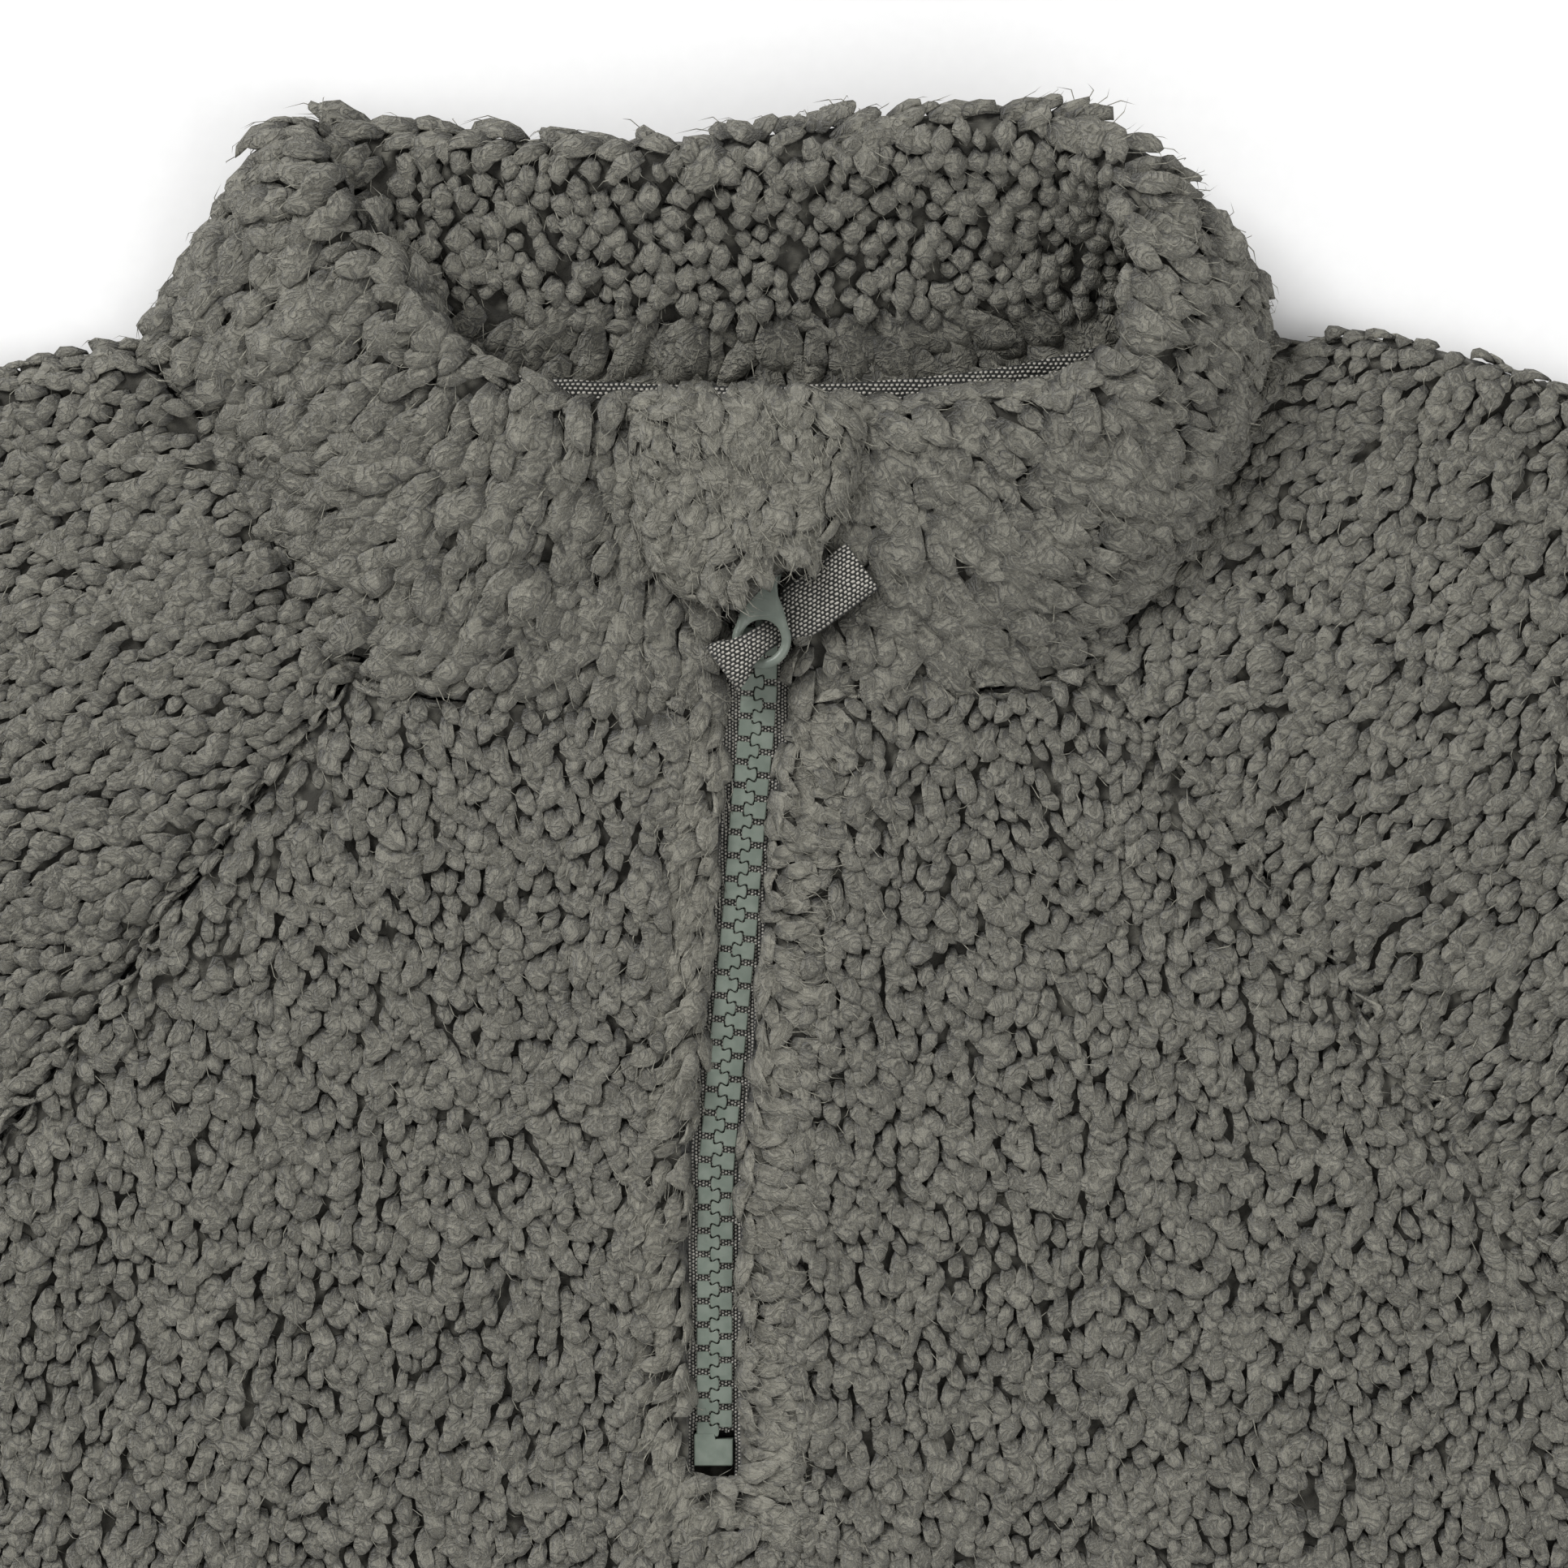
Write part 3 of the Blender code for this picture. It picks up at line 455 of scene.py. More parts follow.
CORE_HALF = 3.7
CORE_TOP = 0.55
core_form = bmesh.new()
core_rows = []
for station in stations:
    corners = ((-CORE_HALF, -0.2), (CORE_HALF, -0.2), (CORE_HALF, CORE_TOP), (-CORE_HALF, CORE_TOP))
    core_rows.append([core_form.verts.new(station + Vector((x, 0.0, z)) * MM) for x, z in corners])
for under, over in zip(core_rows, core_rows[1:]):
    for i in range(4):
        core_form.faces.new((under[i], under[(i + 1) % 4], over[(i + 1) % 4], over[i]))
core_form.faces.new(core_rows[0])
core_form.faces.new(core_rows[-1])
bmesh.ops.recalc_face_normals(core_form, faces=core_form.faces)
core_mesh = bpy.data.meshes.new("tape_core")
core_form.to_mesh(core_mesh)
core_form.free()
core = bpy.data.objects.new("tape_core", core_mesh)
bpy.context.scene.collection.objects.link(core)
core.data.materials.append(TAPE_FINISH)
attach(core, "garment")

# ---- Bottom stop and slider ---------------------------------------------------------------------------------------
# A moulded block closes the foot of the chain. The slider is cast and sage-coated, and it sits under the chin guard.

COATED = plastic_finish("sage_coating", (0.125, 0.148, 0.125), (0.165, 0.19, 0.16), 0.34)
STOP_OUTLINE = [(-3.4, -2.6), (2.9, -2.6), (3.1, -2.3), (3.1, 1.9), (0.2, 1.9), (0.0, 2.8), (-3.2, 2.8), (-3.4, 2.5)]
stop = bpy.data.objects.new("bottom_stop", outline_block("bottom_stop", STOP_OUTLINE, -1.6, 1.6, 0.35))
stop.data.transform(Matrix.Translation(Vector((-3.0, -188.3 + NECK_LEVEL, 7.0)) * MM))
bpy.context.scene.collection.objects.link(stop)
stop.data.materials.append(TEETH_FINISH)
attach(stop, "garment")
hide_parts("zip_stop")

slider = frame["nodes"]["slider"]
slider.data.materials.clear()
slider.data.materials.append(COATED)

# ---- Front --------------------------------------------------------------------------------------------------------
# The front panel is one piece of the same fleece with a slit for the zip. Its pile stands in curled locks, longer
# than wide, whose tips fall towards the hem. It is drawn in along the seams and brushed flat beside the zip.

NUB_SPACING = 2.15
FAR_SPACING = 3.7
ZIP_BAND = 13.0
BAND_FOOT = -206.0
SLIT_EDGE = 5.0
SLIT_FOOT = -193.0
PICTURE_MIDDLE = (8.6, -77.1)
PICTURE_HALF = 139.0
FRONT_CREASES = [
    (-150.0, -215.0, -70.0, -262.0, 1.0, 11.0),
    (95.0, -262.0, 165.0, -225.0, 1.1, 12.0),
    (-120.0, -372.0, -30.0, -345.0, 0.8, 13.0),
    (28.0, -318.0, 118.0, -352.0, 0.9, 12.0),
    (-90.0, -130.0, -52.0, -158.0, 0.7, 8.0),
    (72.0, -158.0, 104.0, -128.0, 0.6, 8.0),
]


def pile_finish(name, low, high, lift=1.0, hair=5.0, contrast=0.55):
    """Curled fleece fibre, with painted shade darkening each lock towards its root and along thin creases, greyer at
    the rims, with fine hairs that run along each lock.
    """
    made, wires, shader, where = finish_of(name, 0.95, 0.2, 0.5, 0.12)
    tip = wires.value("ShaderNodeAttribute", {"attribute_name": "tip"}, None, 2)
    tone = wires.value("ShaderNodeAttribute", {"attribute_name": "tone"}, None, 2)
    grain = wires.node("ShaderNodeAttribute", {"attribute_name": "grain"}).outputs[1]
    drawn = wires.node("ShaderNodeVectorMath", {"operation": "MULTIPLY"}, {0: grain, 1: (hair, 1.6, 1.0)}).outputs[0]
    own = wires.node("ShaderNodeCombineXYZ", None, {2: tone * 60.0}).outputs[0]
    combed = wires.node("ShaderNodeVectorMath", {"operation": "ADD"}, {0: drawn, 1: own}).outputs[0]
    streaks = wires.noise(combed, 1.0, 4.0, 1.1)
    rim = wires.value("ShaderNodeSeparateXYZ", None, {0: grain}).passed("ABSOLUTE").between(0.5, 0.95)
    hairs = wires.noise(where, 2400.0, 4.0, 1.6)
    curls = (wires.noise(where, 360.0, 3.0, 1.4) - 0.5).passed("ABSOLUTE").between(0.0, 0.11)
    cloud = wires.noise(where, 45.0, 2.0)
    # Painted shade: the tip value darkens each lock towards its root, where neighbouring locks would shade it.
    bright = tip.between(0.0, 0.9) * 0.45 + streaks * contrast + hairs * 0.7 + rim * 0.1 + tone * 0.14 + cloud * 0.12
    # Painted shade: the curls term darkens the thin creases where the relief dips.
    colour = wires.tint((bright + curls * 0.24 - 0.44 - 0.5 * contrast).between(0.0, 1.0), low, high)
    wires.tree.links.new(colour, shader.inputs["Base Color"])
    relief = {"Height": streaks * 0.6 + hairs * 0.45 + curls * 0.5, "Strength": lift, "Distance": 0.0015}
    wires.tree.links.new(wires.node("ShaderNodeBump", None, relief).outputs[0], shader.inputs["Normal"])
    return made


FINE_LOCK = ((0.0, 0.5), (0.26, 0.95), (0.54, 1.0), (0.8, 0.64))
PLAIN_LOCK = ((0.0, 0.6), (0.38, 1.0), (0.76, 0.72))


def leaf(name, seed, length, width, height, thick, curl, sides=6, stations=FINE_LOCK):
    """One closed lock of curled fibre: it leaves the ground near the origin, arches along +Y and turns its tip in."""
    chance = random.Random(seed)
    form = bmesh.new()
    tips = form.verts.layers.float.new("tip")
    grains = form.verts.layers.float_vector.new("grain")
    bow, twist, cup = (chance.uniform(-1.0, 1.0) for _ in range(3))
    rings = []
    for t, wide in stations:
        half = 0.5 * width * wide * chance.uniform(0.85, 1.15)
        rise = height * (math.sin(math.pi * (0.04 + 0.62 * t)) - 0.12)
        turn = twist * curl * (t - 0.4)
        ring = []
        for k in range(sides):
            a = 2.0 * math.pi * (k + 0.5) / sides
            x = half * math.cos(a)
            z = 0.5 * thick * (1.0 if t else 0.6) * math.sin(a) - (0.2 + 0.45 * cup) * half * (x / half) ** 2
            z *= chance.uniform(0.85, 1.15)
            x, z = x * math.cos(turn) - z * math.sin(turn), x * math.sin(turn) + z * math.cos(turn)
            corner = form.verts.new(
                ((x + bow * curl * t * t * length * 0.3) * MM, (t - 0.35) * length * MM, (z + rise) * MM)
            )
            corner[tips] = min(0.25 + 0.75 * rise / height, 1.0) if t else 0.0
            corner[grains] = (math.cos(a), t, 0.0)
            ring.append(corner)
        rings.append(ring)
    for under, over in zip(rings, rings[1:]):
        for i in range(sides):
            j = (i + 1) % sides
            form.faces.new((under[i], under[j], over[j], over[i]))
    end = Vector((bow * curl * length * 0.36, 0.62 * length, height * chance.uniform(0.45, 0.85)))
    point = form.verts.new(end * MM)
    point[tips] = 1.0
    point[grains] = (0.0, 1.0, 0.0)
    for i in range(sides):
        form.faces.new((rings[-1][i], rings[-1][(i + 1) % sides], point))
    form.faces.new(rings[0][::-1])
    bmesh.ops.recalc_face_normals(form, faces=form.faces)
    made = bpy.data.meshes.new(name)
    form.to_mesh(made)
    form.free()
    return made


def tuft(name, seed, length, width, height, sides, levels, point, knobs):
    """One closed tuft standing on z = 0 with its tip towards +Y. The tip value runs from its root to its crown."""
    chance = random.Random(seed)
    form = bmesh.new()
    tips = form.verts.layers.float.new("tip")
    grains = form.verts.layers.float_vector.new("grain")
    waves = [(chance.uniform(0, 6.28), chance.uniform(0.5, 1.0) * knobs) for _ in range(3)]
    rings = []
    for level in levels:
        reach = (1.0 - level**3.2) ** 0.5 * (0.86 + 0.32 * level)
        ring = []
        for k in range(sides):
            turn = 2.0 * math.pi * k / sides
            lump = 1.0 + sum(a * math.sin((n + 2) * turn + p + level * 2.5) for n, (p, a) in enumerate(waves))
            out = reach * lump * (1.0 + chance.uniform(-0.5, 0.5) * knobs)
            x = 0.5 * width * out * math.cos(turn)
            y = 0.5 * length * out * math.sin(turn)
            y += point * level * (0.6 + max(math.sin(turn), 0.0)) * length * 0.3
            z = height * (level + chance.uniform(-0.25, 0.25) * knobs * level)
            corner = form.verts.new((x * MM, y * MM, z * MM))
            corner[tips] = level
            corner[grains] = (2.0 * x / width, y / length, 0.0)
            ring.append(corner)
        rings.append(ring)
    for under, over in zip(rings, rings[1:]):
        for i in range(sides):
            j = (i + 1) % sides
            form.faces.new((under[i], under[j], over[j], over[i]))
    crown = form.verts.new((chance.uniform(-0.1, 0.1) * width * MM, point * length * 0.32 * MM, height * 1.06 * MM))
    crown[tips] = 1.0
    for i in range(sides):
        form.faces.new((rings[-1][i], rings[-1][(i + 1) % sides], crown))
    form.faces.new(rings[0][::-1])
    made = bpy.data.meshes.new(name)
    form.to_mesh(made)
    form.free()
    return made


def shape_set(name, meshes):
    """A collection of lock shapes for a tree to pick from. It is not part of the scene."""
    box = bpy.data.collections.new(name)
    for mesh in meshes:
        box.objects.link(bpy.data.objects.new(mesh.name, mesh))
    return box


def pile_tree():
    """Locks spread over a ground, each leaning along the nap, with its size, turn and tone varied."""
    tree = bpy.data.node_groups.new("pile", "GeometryNodeTree")
    kinds = {
        "Ground": "Geometry",
        "Shapes": "Collection",
        "Spacing": "Float",
        "Size": "Float",
        "Uneven": "Float",
        "Lean": "Float",
        "Swirl": "Float",
        "Seed": "Int",
        "Last shape": "Int",
        "Finish": "Material",
    }
    given = named_inputs(tree, kinds).outputs
    wires = Wires(tree)

    def field(name, kind="FLOAT_VECTOR"):
        return wires.node("GeometryNodeInputNamedAttribute", {"data_type": kind}, {"Name": name}).outputs[0]

    def vector(operation, first, second):
        slot = "Scale" if operation == "SCALE" else 1
        return wires.node("ShaderNodeVectorMath", {"operation": operation}, {0: first, slot: second}).outputs[0]

    gap = Value(wires, given["Spacing"])
    spread = {"Mesh": given["Ground"], "Distance Min": gap, "Density Max": 3.0 / (gap * gap)}
    spread |= {"Density Factor": field("growth", "FLOAT"), "Seed": given["Seed"]}
    dots = wires.node("GeometryNodeDistributePointsOnFaces", {"distribute_method": "POISSON"}, spread).outputs[0]
    place = wires.node("GeometryNodeInputPosition").outputs[0]
    drift = vector("SUBTRACT", wires.noise(place, 42.0, 2.0, 0.0, 1).socket, (0.5, 0.5, 0.5))
    nap = vector("ADD", field("nap"), vector("SCALE", drift, given["Swirl"]))
    jitter = wires.node("FunctionNodeRandomValue", {"data_type": "FLOAT_VECTOR"}, {0: (-1, -1, -1), 1: (1, 1, 1)})
    nap = vector("ADD", nap, vector("SCALE", jitter.outputs[0], (Value(wires, given["Swirl"]) * 0.22).socket))
    rise = vector("ADD", field("up"), vector("SCALE", nap, given["Lean"]))
    stand = wires.node("FunctionNodeAlignRotationToVector", {"axis": "Z"}, {"Vector": rise}).outputs[0]
    turned = {"Rotation": stand, "Vector": nap}
    turned = wires.node("FunctionNodeAlignRotationToVector", {"axis": "Y", "pivot_axis": "Z"}, turned).outputs[0]
    uneven = Value(wires, given["Uneven"])
    low, high = 1.0 - uneven, 1.0 + uneven
    size = wires.value("FunctionNodeRandomValue", {"data_type": "FLOAT"}, {2: low, 3: high, 8: 11}, 1)
    size = size * given["Size"] * Value(wires, field("size", "FLOAT"))
    thin = wires.value("FunctionNodeRandomValue", {"data_type": "FLOAT"}, {2: 0.85, 3: 1.2, 8: 5}, 1)
    scale = wires.node("ShaderNodeCombineXYZ", None, {0: size * thin, 1: size, 2: size}).outputs[0]
    pick = wires.node("FunctionNodeRandomValue", {"data_type": "INT"}, {4: 0, 5: given["Last shape"], 8: 3})
    shapes = {"Collection": given["Shapes"], "Separate Children": True, "Reset Children": True}
    shapes = wires.node("GeometryNodeCollectionInfo", None, shapes).outputs[0]
    planted = {"Points": dots, "Instance": shapes, "Pick Instance": True, "Instance Index": pick.outputs[2]}
    planted |= {"Rotation": turned, "Scale": scale}
    planted = wires.node("GeometryNodeInstanceOnPoints", None, planted).outputs[0]
    tone = wires.node("FunctionNodeRandomValue", {"data_type": "FLOAT"}, {8: 29}).outputs[1]
    toned = {"Geometry": planted, "Name": "tone", "Value": tone}
    toned = wires.node("GeometryNodeStoreNamedAttribute", {"data_type": "FLOAT", "domain": "INSTANCE"}, toned)
    real = wires.node("GeometryNodeRealizeInstances", None, {"Geometry": toned.outputs[0]}).outputs[0]
    soft = wires.node("GeometryNodeSetShadeSmooth", None, {"Geometry": real}).outputs[0]
    done = wires.node("GeometryNodeSetMaterial", None, {"Geometry": soft, "Material": given["Finish"]}).outputs[0]
    wires.node("NodeGroupOutput", None, {"Geometry": done})
    return tree


PILE = pile_tree()


def seam_dip(x, y, seams):
    """How deep the pile is drawn in by the sewn lines near a point, in millimetres."""
    deepest = 0.0
    for depth, width, corners in seams:
        for (x0, y0), (x1, y1) in zip(corners, corners[1:]):
            run = (x1 - x0) ** 2 + (y1 - y0) ** 2
            near = min(max(((x - x0) * (x1 - x0) + (y - y0) * (y1 - y0)) / run, 0.0), 1.0)
            away = math.hypot(x - x0 - near * (x1 - x0), y - y0 - near * (y1 - y0))
            deepest = max(deepest, depth * math.exp(-((away / width) ** 2)))
    return deepest


def bare_ground(name, cloth, nap_at, growth_at, let_in=PILE_DEPTH, fine=2.6, seams=()):
    """The open faces of a ground, with the way the pile falls and how thickly it grows at each corner."""
    form = bmesh.new()
    form.from_mesh(cloth.data)
    form.normal_update()
    idle = []
    for face in form.faces:
        spots = [corner.co / MM for corner in face.verts]
        if all(growth_at(x, y - NECK_LEVEL, z, face.normal) <= 0.0 for x, y, z in [*spots, sum(spots, Vector()) / 3]):
            idle.append(face)
    bmesh.ops.delete(form, geom=idle, context="FACES")
    for _ in range(4):
        long = [e for e in form.edges if e.calc_length() > fine * MM]
        if not long:
            break
        bmesh.ops.subdivide_edges(form, edges=long, cuts=1)
        bmesh.ops.triangulate(form, faces=[f for f in form.faces if len(f.verts) > 3])
    form.normal_update()
    closed = []
    for face in form.faces:
        start = face.calc_center_median() + face.normal * (let_in + PILE_CLEARANCE) * MM
        above = COVER.ray_cast(start, Vector((0.0, 0.0, 1.0)), COVER_REACH * MM)[0]
        if face.normal.z < -0.35 or (face.normal.z > 0.3 and above is not None):
            closed.append(face)
    bmesh.ops.delete(form, geom=closed, context="FACES")
    ground = bpy.data.meshes.new(name)
    form.to_mesh(ground)
    form.free()
    naps, ups, growths, sizes, dips = [], [], [], [], []
    for corner in ground.vertices:
        x, y, z = (v / MM for v in corner.co)
        up = corner.normal.normalized()
        dip = seam_dip(x, y - NECK_LEVEL, seams) if up.z > 0.3 else 0.0
        dips.append(dip)
        nap = Vector(nap_at(x, y - NECK_LEVEL, z, up))
        nap = (nap - up * nap.dot(up)).normalized()
        growth = growth_at(x, y - NECK_LEVEL, z, up) if z > 1.2 else 0.0
        naps.extend(nap)
        ups.extend(up)
        growths.append(min(growth, 1.0))
        sizes.append(1.0 - 0.16 * dip)
    for corner, dip in zip(ground.vertices, dips):
        corner.co.z -= dip * MM
    for label, kind, values in (("nap", "FLOAT_VECTOR", naps), ("up", "FLOAT_VECTOR", ups)):
        ground.attributes.new(label, kind, "POINT").data.foreach_set("vector", values)
    for label, values in (("growth", growths), ("size", sizes)):
        ground.attributes.new(label, "FLOAT", "POINT").data.foreach_set("value", values)
    return ground


def planted(name, ground, shapes, finish, spacing, seed, size=1.0, uneven=0.16, lean=0.35, swirl=0.9):
    """Grows one pile on a ground and gives it to the garment."""
    inputs = {"Shapes": shapes, "Spacing": spacing * MM, "Size": size, "Uneven": uneven, "Lean": lean}
    inputs |= {"Swirl": swirl, "Seed": seed, "Last shape": len(shapes.objects) - 1, "Finish": finish}
    made = worked(name, ground, PILE, inputs)
    for corner in made.data.vertices:
        corner.co.z = max(corner.co.z, 0.0001)
    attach(made, "garment")
    return made


def zip_x(y):
    """Where the middle of the zip runs at a height on the garment."""
    rows = sorted(TOOTH_RUN)
    return float(np.interp(y, [r[0] for r in rows], [r[1] for r in rows]))


FLEECE = pile_finish("fleece_pile", (0.056, 0.054, 0.043), (0.385, 0.371, 0.311))
near_nubs = shape_set("near_nubs", [leaf(f"near_leaf_{i}", i, 5.1, 3.45, 3.1, 1.4, 1.4) for i in range(10)])
far_nubs = shape_set(
    "far_nubs", [leaf(f"far_leaf_{i}", i + 20, 8.0, 5.0, 3.2, 2.4, 0.9, 5, PLAIN_LOCK) for i in range(7)]
)

front = laid_cloth("front_ground", "front", PILE_DEPTH, creases=FRONT_CREASES)
front.data.materials.append(SHADED_GROUND)
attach(front, "garment")
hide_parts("front")


def front_nap(x, y, z, up):
    return (0.05 + 0.0012 * x, -1.0, 0.0)


NECK_SEAM = [(-95, -6), (-90, -13), (-79, -21), (-74, -29), (-72, -39), (-67, -51), (-60, -61), (-35, -64), (-4, -64)]
NECK_SEAM += [(8, -64), (30, -61), (61, -55), (81, -28), (87, 1)]
LEFT_RAGLAN = [(-60, -61), (-70, -71), (-87, -88), (-109, -114), (-122, -127)]
LEFT_TOPSTITCH = [(-68, -76), (-83, -97), (-100, -121), (-118, -136), (-130, -150)]
RIGHT_RAGLAN = [(59, -60), (74, -82), (92, -105), (117, -137), (139, -167)]
SEAMS = [(1.0, 2.2, NECK_SEAM), (0.9, 2.0, LEFT_RAGLAN), (1.3, 1.6, LEFT_TOPSTITCH), (1.0, 2.0, RIGHT_RAGLAN)]


def beside_zip(x, y):
    """1 in the brushed band beside the zip, 0 outside it."""
    if y < BAND_FOOT:
        return 0.0
    away = abs(x - zip_x(y))
    return min(max((ZIP_BAND + 1.5 - away) / 3.0, 0.0), 1.0) * min(max((y - BAND_FOOT) / 6.0, 0.0), 1.0)


def off_the_slit(x, y):
    """0 along the edge of the slit, where the tape shows."""
    return 0.0 if abs(x - zip_x(y)) < SLIT_EDGE and y > SLIT_FOOT else 1.0


def in_picture(x, y):
    """True where the camera sees the garment, and a little beyond."""
    return max(abs(x - PICTURE_MIDDLE[0]), abs(y - PICTURE_MIDDLE[1])) < PICTURE_HALF


front_piles = []
for label, shapes, seed, part in (
    ("front_pile_neck", near_nubs, 3, lambda x, y: in_picture(x, y)),
    ("front_pile_left", far_nubs, 5, lambda x, y: not in_picture(x, y) and x < 0.0),
    ("front_pile_right", far_nubs, 7, lambda x, y: not in_picture(x, y) and x >= 0.0),
):
    ground = bare_ground(
        label,
        front,
        front_nap,
        lambda x, y, z, up, part=part: min(2.0 - 2.0 * beside_zip(x, y), 1.0) if part(x, y) else 0.0,
        fine=2.6 if shapes is near_nubs else 6.0,
        seams=SEAMS if shapes is near_nubs else (),
    )
    gap = NUB_SPACING if shapes is near_nubs else FAR_SPACING
    front_piles.append(planted(label, ground, shapes, FLEECE, gap, seed, uneven=0.2, swirl=1.1))


def strand(name, seed, length, width, rise, curl):
    """One lock of fine fibres: three-sided, tapering to a point, arched along +Y and curled to a side."""
    chance = random.Random(seed)
    form = bmesh.new()
    tips = form.verts.layers.float.new("tip")
    grains = form.verts.layers.float_vector.new("grain")
    rings = []
    bow = curl * chance.uniform(-1.0, 1.0)
    for t, thick in ((0.0, 0.8), (0.55, 1.0)):
        ring = []
        for k in range(3):
            turn = 2.0 * math.pi * k / 3 + 0.5
            x = bow * t * t * length + 0.5 * width * thick * math.cos(turn)
            z = rise * math.sin(math.pi * (0.1 + 0.75 * t)) - 0.25 * rise + 0.4 * width * thick * math.sin(turn)
            corner = form.verts.new((x * MM, t * length * MM, z * MM))
            corner[tips] = 0.45 + 0.3 * t
            corner[grains] = (0.0, t, 0.0)
            ring.append(corner)
        rings.append(ring)
    for under, over in zip(rings, rings[1:]):
        for i in range(3):
            j = (i + 1) % 3
            form.faces.new((under[i], under[j], over[j], over[i]))
    point = form.verts.new((bow * length * MM, length * MM, rise * chance.uniform(0.0, 0.9) * MM))
    point[tips] = 0.8
    for i in range(3):
        form.faces.new((rings[-1][i], rings[-1][(i + 1) % 3], point))
    form.faces.new(rings[0][::-1])
    bmesh.ops.recalc_face_normals(form, faces=form.faces)
    made = bpy.data.meshes.new(name)
    form.to_mesh(made)
    form.free()
    return made


def fuzzed(name, pile, finish, spacing, seed, nap_at, size=1.0, above=0.35):
    """Loose fibres over the crowns of a pile or over a brushed ground."""
    ground = pile.data.copy()
    ground.name = name
    count = len(ground.vertices)
    normals = np.empty(count * 3)
    ground.vertices.foreach_get("normal", normals)
    places = np.empty(count * 3)
    ground.vertices.foreach_get("co", places)
    ups, places = normals.reshape(-1, 3), places.reshape(-1, 3) / MM
    tip = np.ones(count)
    if "tip" in ground.attributes:
        ground.attributes["tip"].data.foreach_get("value", tip)
    growth = np.clip((tip - above) * 3.0, 0.0, 1.0) * np.clip(ups[:, 2] * 3.0 + 1.0, 0.0, 1.0)
    naps = np.array([nap_at(x, y - NECK_LEVEL, z, Vector(u)) for (x, y, z), u in zip(places, ups)])
    naps -= ups * (naps * ups).sum(axis=1)[:, None]
    naps /= np.maximum(np.linalg.norm(naps, axis=1), 1e-6)[:, None]
    for label, values in (("nap", naps), ("up", ups)):
        ground.attributes.new(label, "FLOAT_VECTOR", "POINT").data.foreach_set("vector", values.ravel())
    for label, values in (("growth", growth), ("size", np.ones(count))):
        ground.attributes.new(label, "FLOAT", "POINT").data.foreach_set("value", values)
    return planted(name, ground, FIBRES, finish, spacing, seed, size, 0.35, 0.25, 2.2)


FIBRES = shape_set("fibres", [strand(f"fibre_{i}", i + 200, 3.0, 0.17, 0.9, 1.2) for i in range(7)])
FIBRE = pile_finish("loose_fibre", (0.09, 0.087, 0.071), (0.38, 0.367, 0.308), 0.3)
neck_fuzz = fuzzed("front_fuzz", front_piles[0], FIBRE, 3.2, 31, front_nap)
front_piles.append(neck_fuzz)

BRUSHED = pile_finish("brushed_pile", (0.09, 0.087, 0.071), (0.385, 0.371, 0.311), 0.8, 7.0, 0.8)
locks = shape_set("flat_locks", [leaf(f"flat_lock_{i}", i + 40, 6.6, 3.8, 1.9, 1.1, 1.9) for i in range(9)])


def away_from_zip(x, y, z, up):
    return (0.75 if x > zip_x(y) else -0.75, -0.7, 0.0)


def on_the_bands(x, y, z, up):
    return min(2.0 * beside_zip(x, y), off_the_slit(x, y))


ground = bare_ground("zip_band", front, away_from_zip, on_the_bands)
zip_bands = planted("zip_bands", ground, locks, BRUSHED, 2.1, 9, lean=0.15, swirl=2.2)
band_fuzz = fuzzed("band_fuzz", zip_bands, FIBRE, 1.3, 33, away_from_zip, 1.1)

# ---- Sleeves ------------------------------------------------------------------------------------------------------
# Raglan sleeves, each one piece folded along its top edge and laid flat. The pile of the picture's right sleeve falls
# down and to the left, and that of the left sleeve lies almost level.

SLEEVE_CREASES = {
    "left": [
        (-170.0, -60.0, -215.0, -132.0, 1.1, 9.0),
        (-235.0, -150.0, -292.0, -178.0, 1.3, 10.0),
        (-300.0, -205.0, -352.0, -262.0, 1.0, 9.0),
        (-345.0, -318.0, -392.0, -302.0, 1.2, 8.0),
        (-128.0, -30.0, -160.0, -52.0, 0.6, 8.0),
    ],
    "right": [
        (168.0, -112.0, 232.0, -92.0, 1.0, 9.0),
        (228.0, -188.0, 292.0, -158.0, 1.3, 10.0),
        (292.0, -232.0, 348.0, -238.0, 1.0, 9.0),
        (338.0, -322.0, 388.0, -288.0, 1.1, 8.0),
        (132.0, -42.0, 158.0, -66.0, 0.6, 8.0),
    ],
}
SLEEVE_NAPS = {"left": (-0.95, -0.36, 0.0), "right": (-0.72, -0.69, 0.0)}

sleeves = {}
for side in ("left", "right"):
    sleeve = laid_cloth(f"sleeve_{side}_ground", f"sleeve_{side}", PILE_DEPTH, creases=SLEEVE_CREASES[side])
    sleeve.data.materials.append(SHADED_GROUND)
    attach(sleeve, "garment")
    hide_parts(f"sleeve_{side}")
    sleeves[side] = sleeve
    piles = []
    for label, shapes, seed, near in (("near", near_nubs, 13, True), ("far", far_nubs, 15, False)):
        ground = bare_ground(
            f"sleeve_{side}_{label}",
            sleeve,
            lambda x, y, z, up: SLEEVE_NAPS[side],
            lambda x, y, z, up: 1.0 if in_picture(x, y) == near else 0.0,
            fine=2.6 if near else 6.0,
            seams=SEAMS if near else (),
        )
        gap = NUB_SPACING if near else FAR_SPACING
        name = f"sleeve_{side}_pile_{label}"
        piles.append(planted(name, ground, shapes, FLEECE, gap, seed, uneven=0.2, lean=0.5, swirl=0.9))
        if near:
            piles.append(
                fuzzed(f"sleeve_{side}_fuzz", piles[0], FIBRE, 3.0, 35, lambda x, y, z, up: SLEEVE_NAPS[side])
            )

ground = bare_ground("back_edge", back, front_nap, lambda x, y, z, up: 1.0 if up.z < 0.9 else 0.0, fine=6.0)
back_pile = planted("back_pile", ground, far_nubs, FLEECE, FAR_SPACING, 17)

# ---- Neck tape ----------------------------------------------------------------------------------------------------
# Woven heather tape, 9 mm wide, sewn over the seam at the back of the neck.

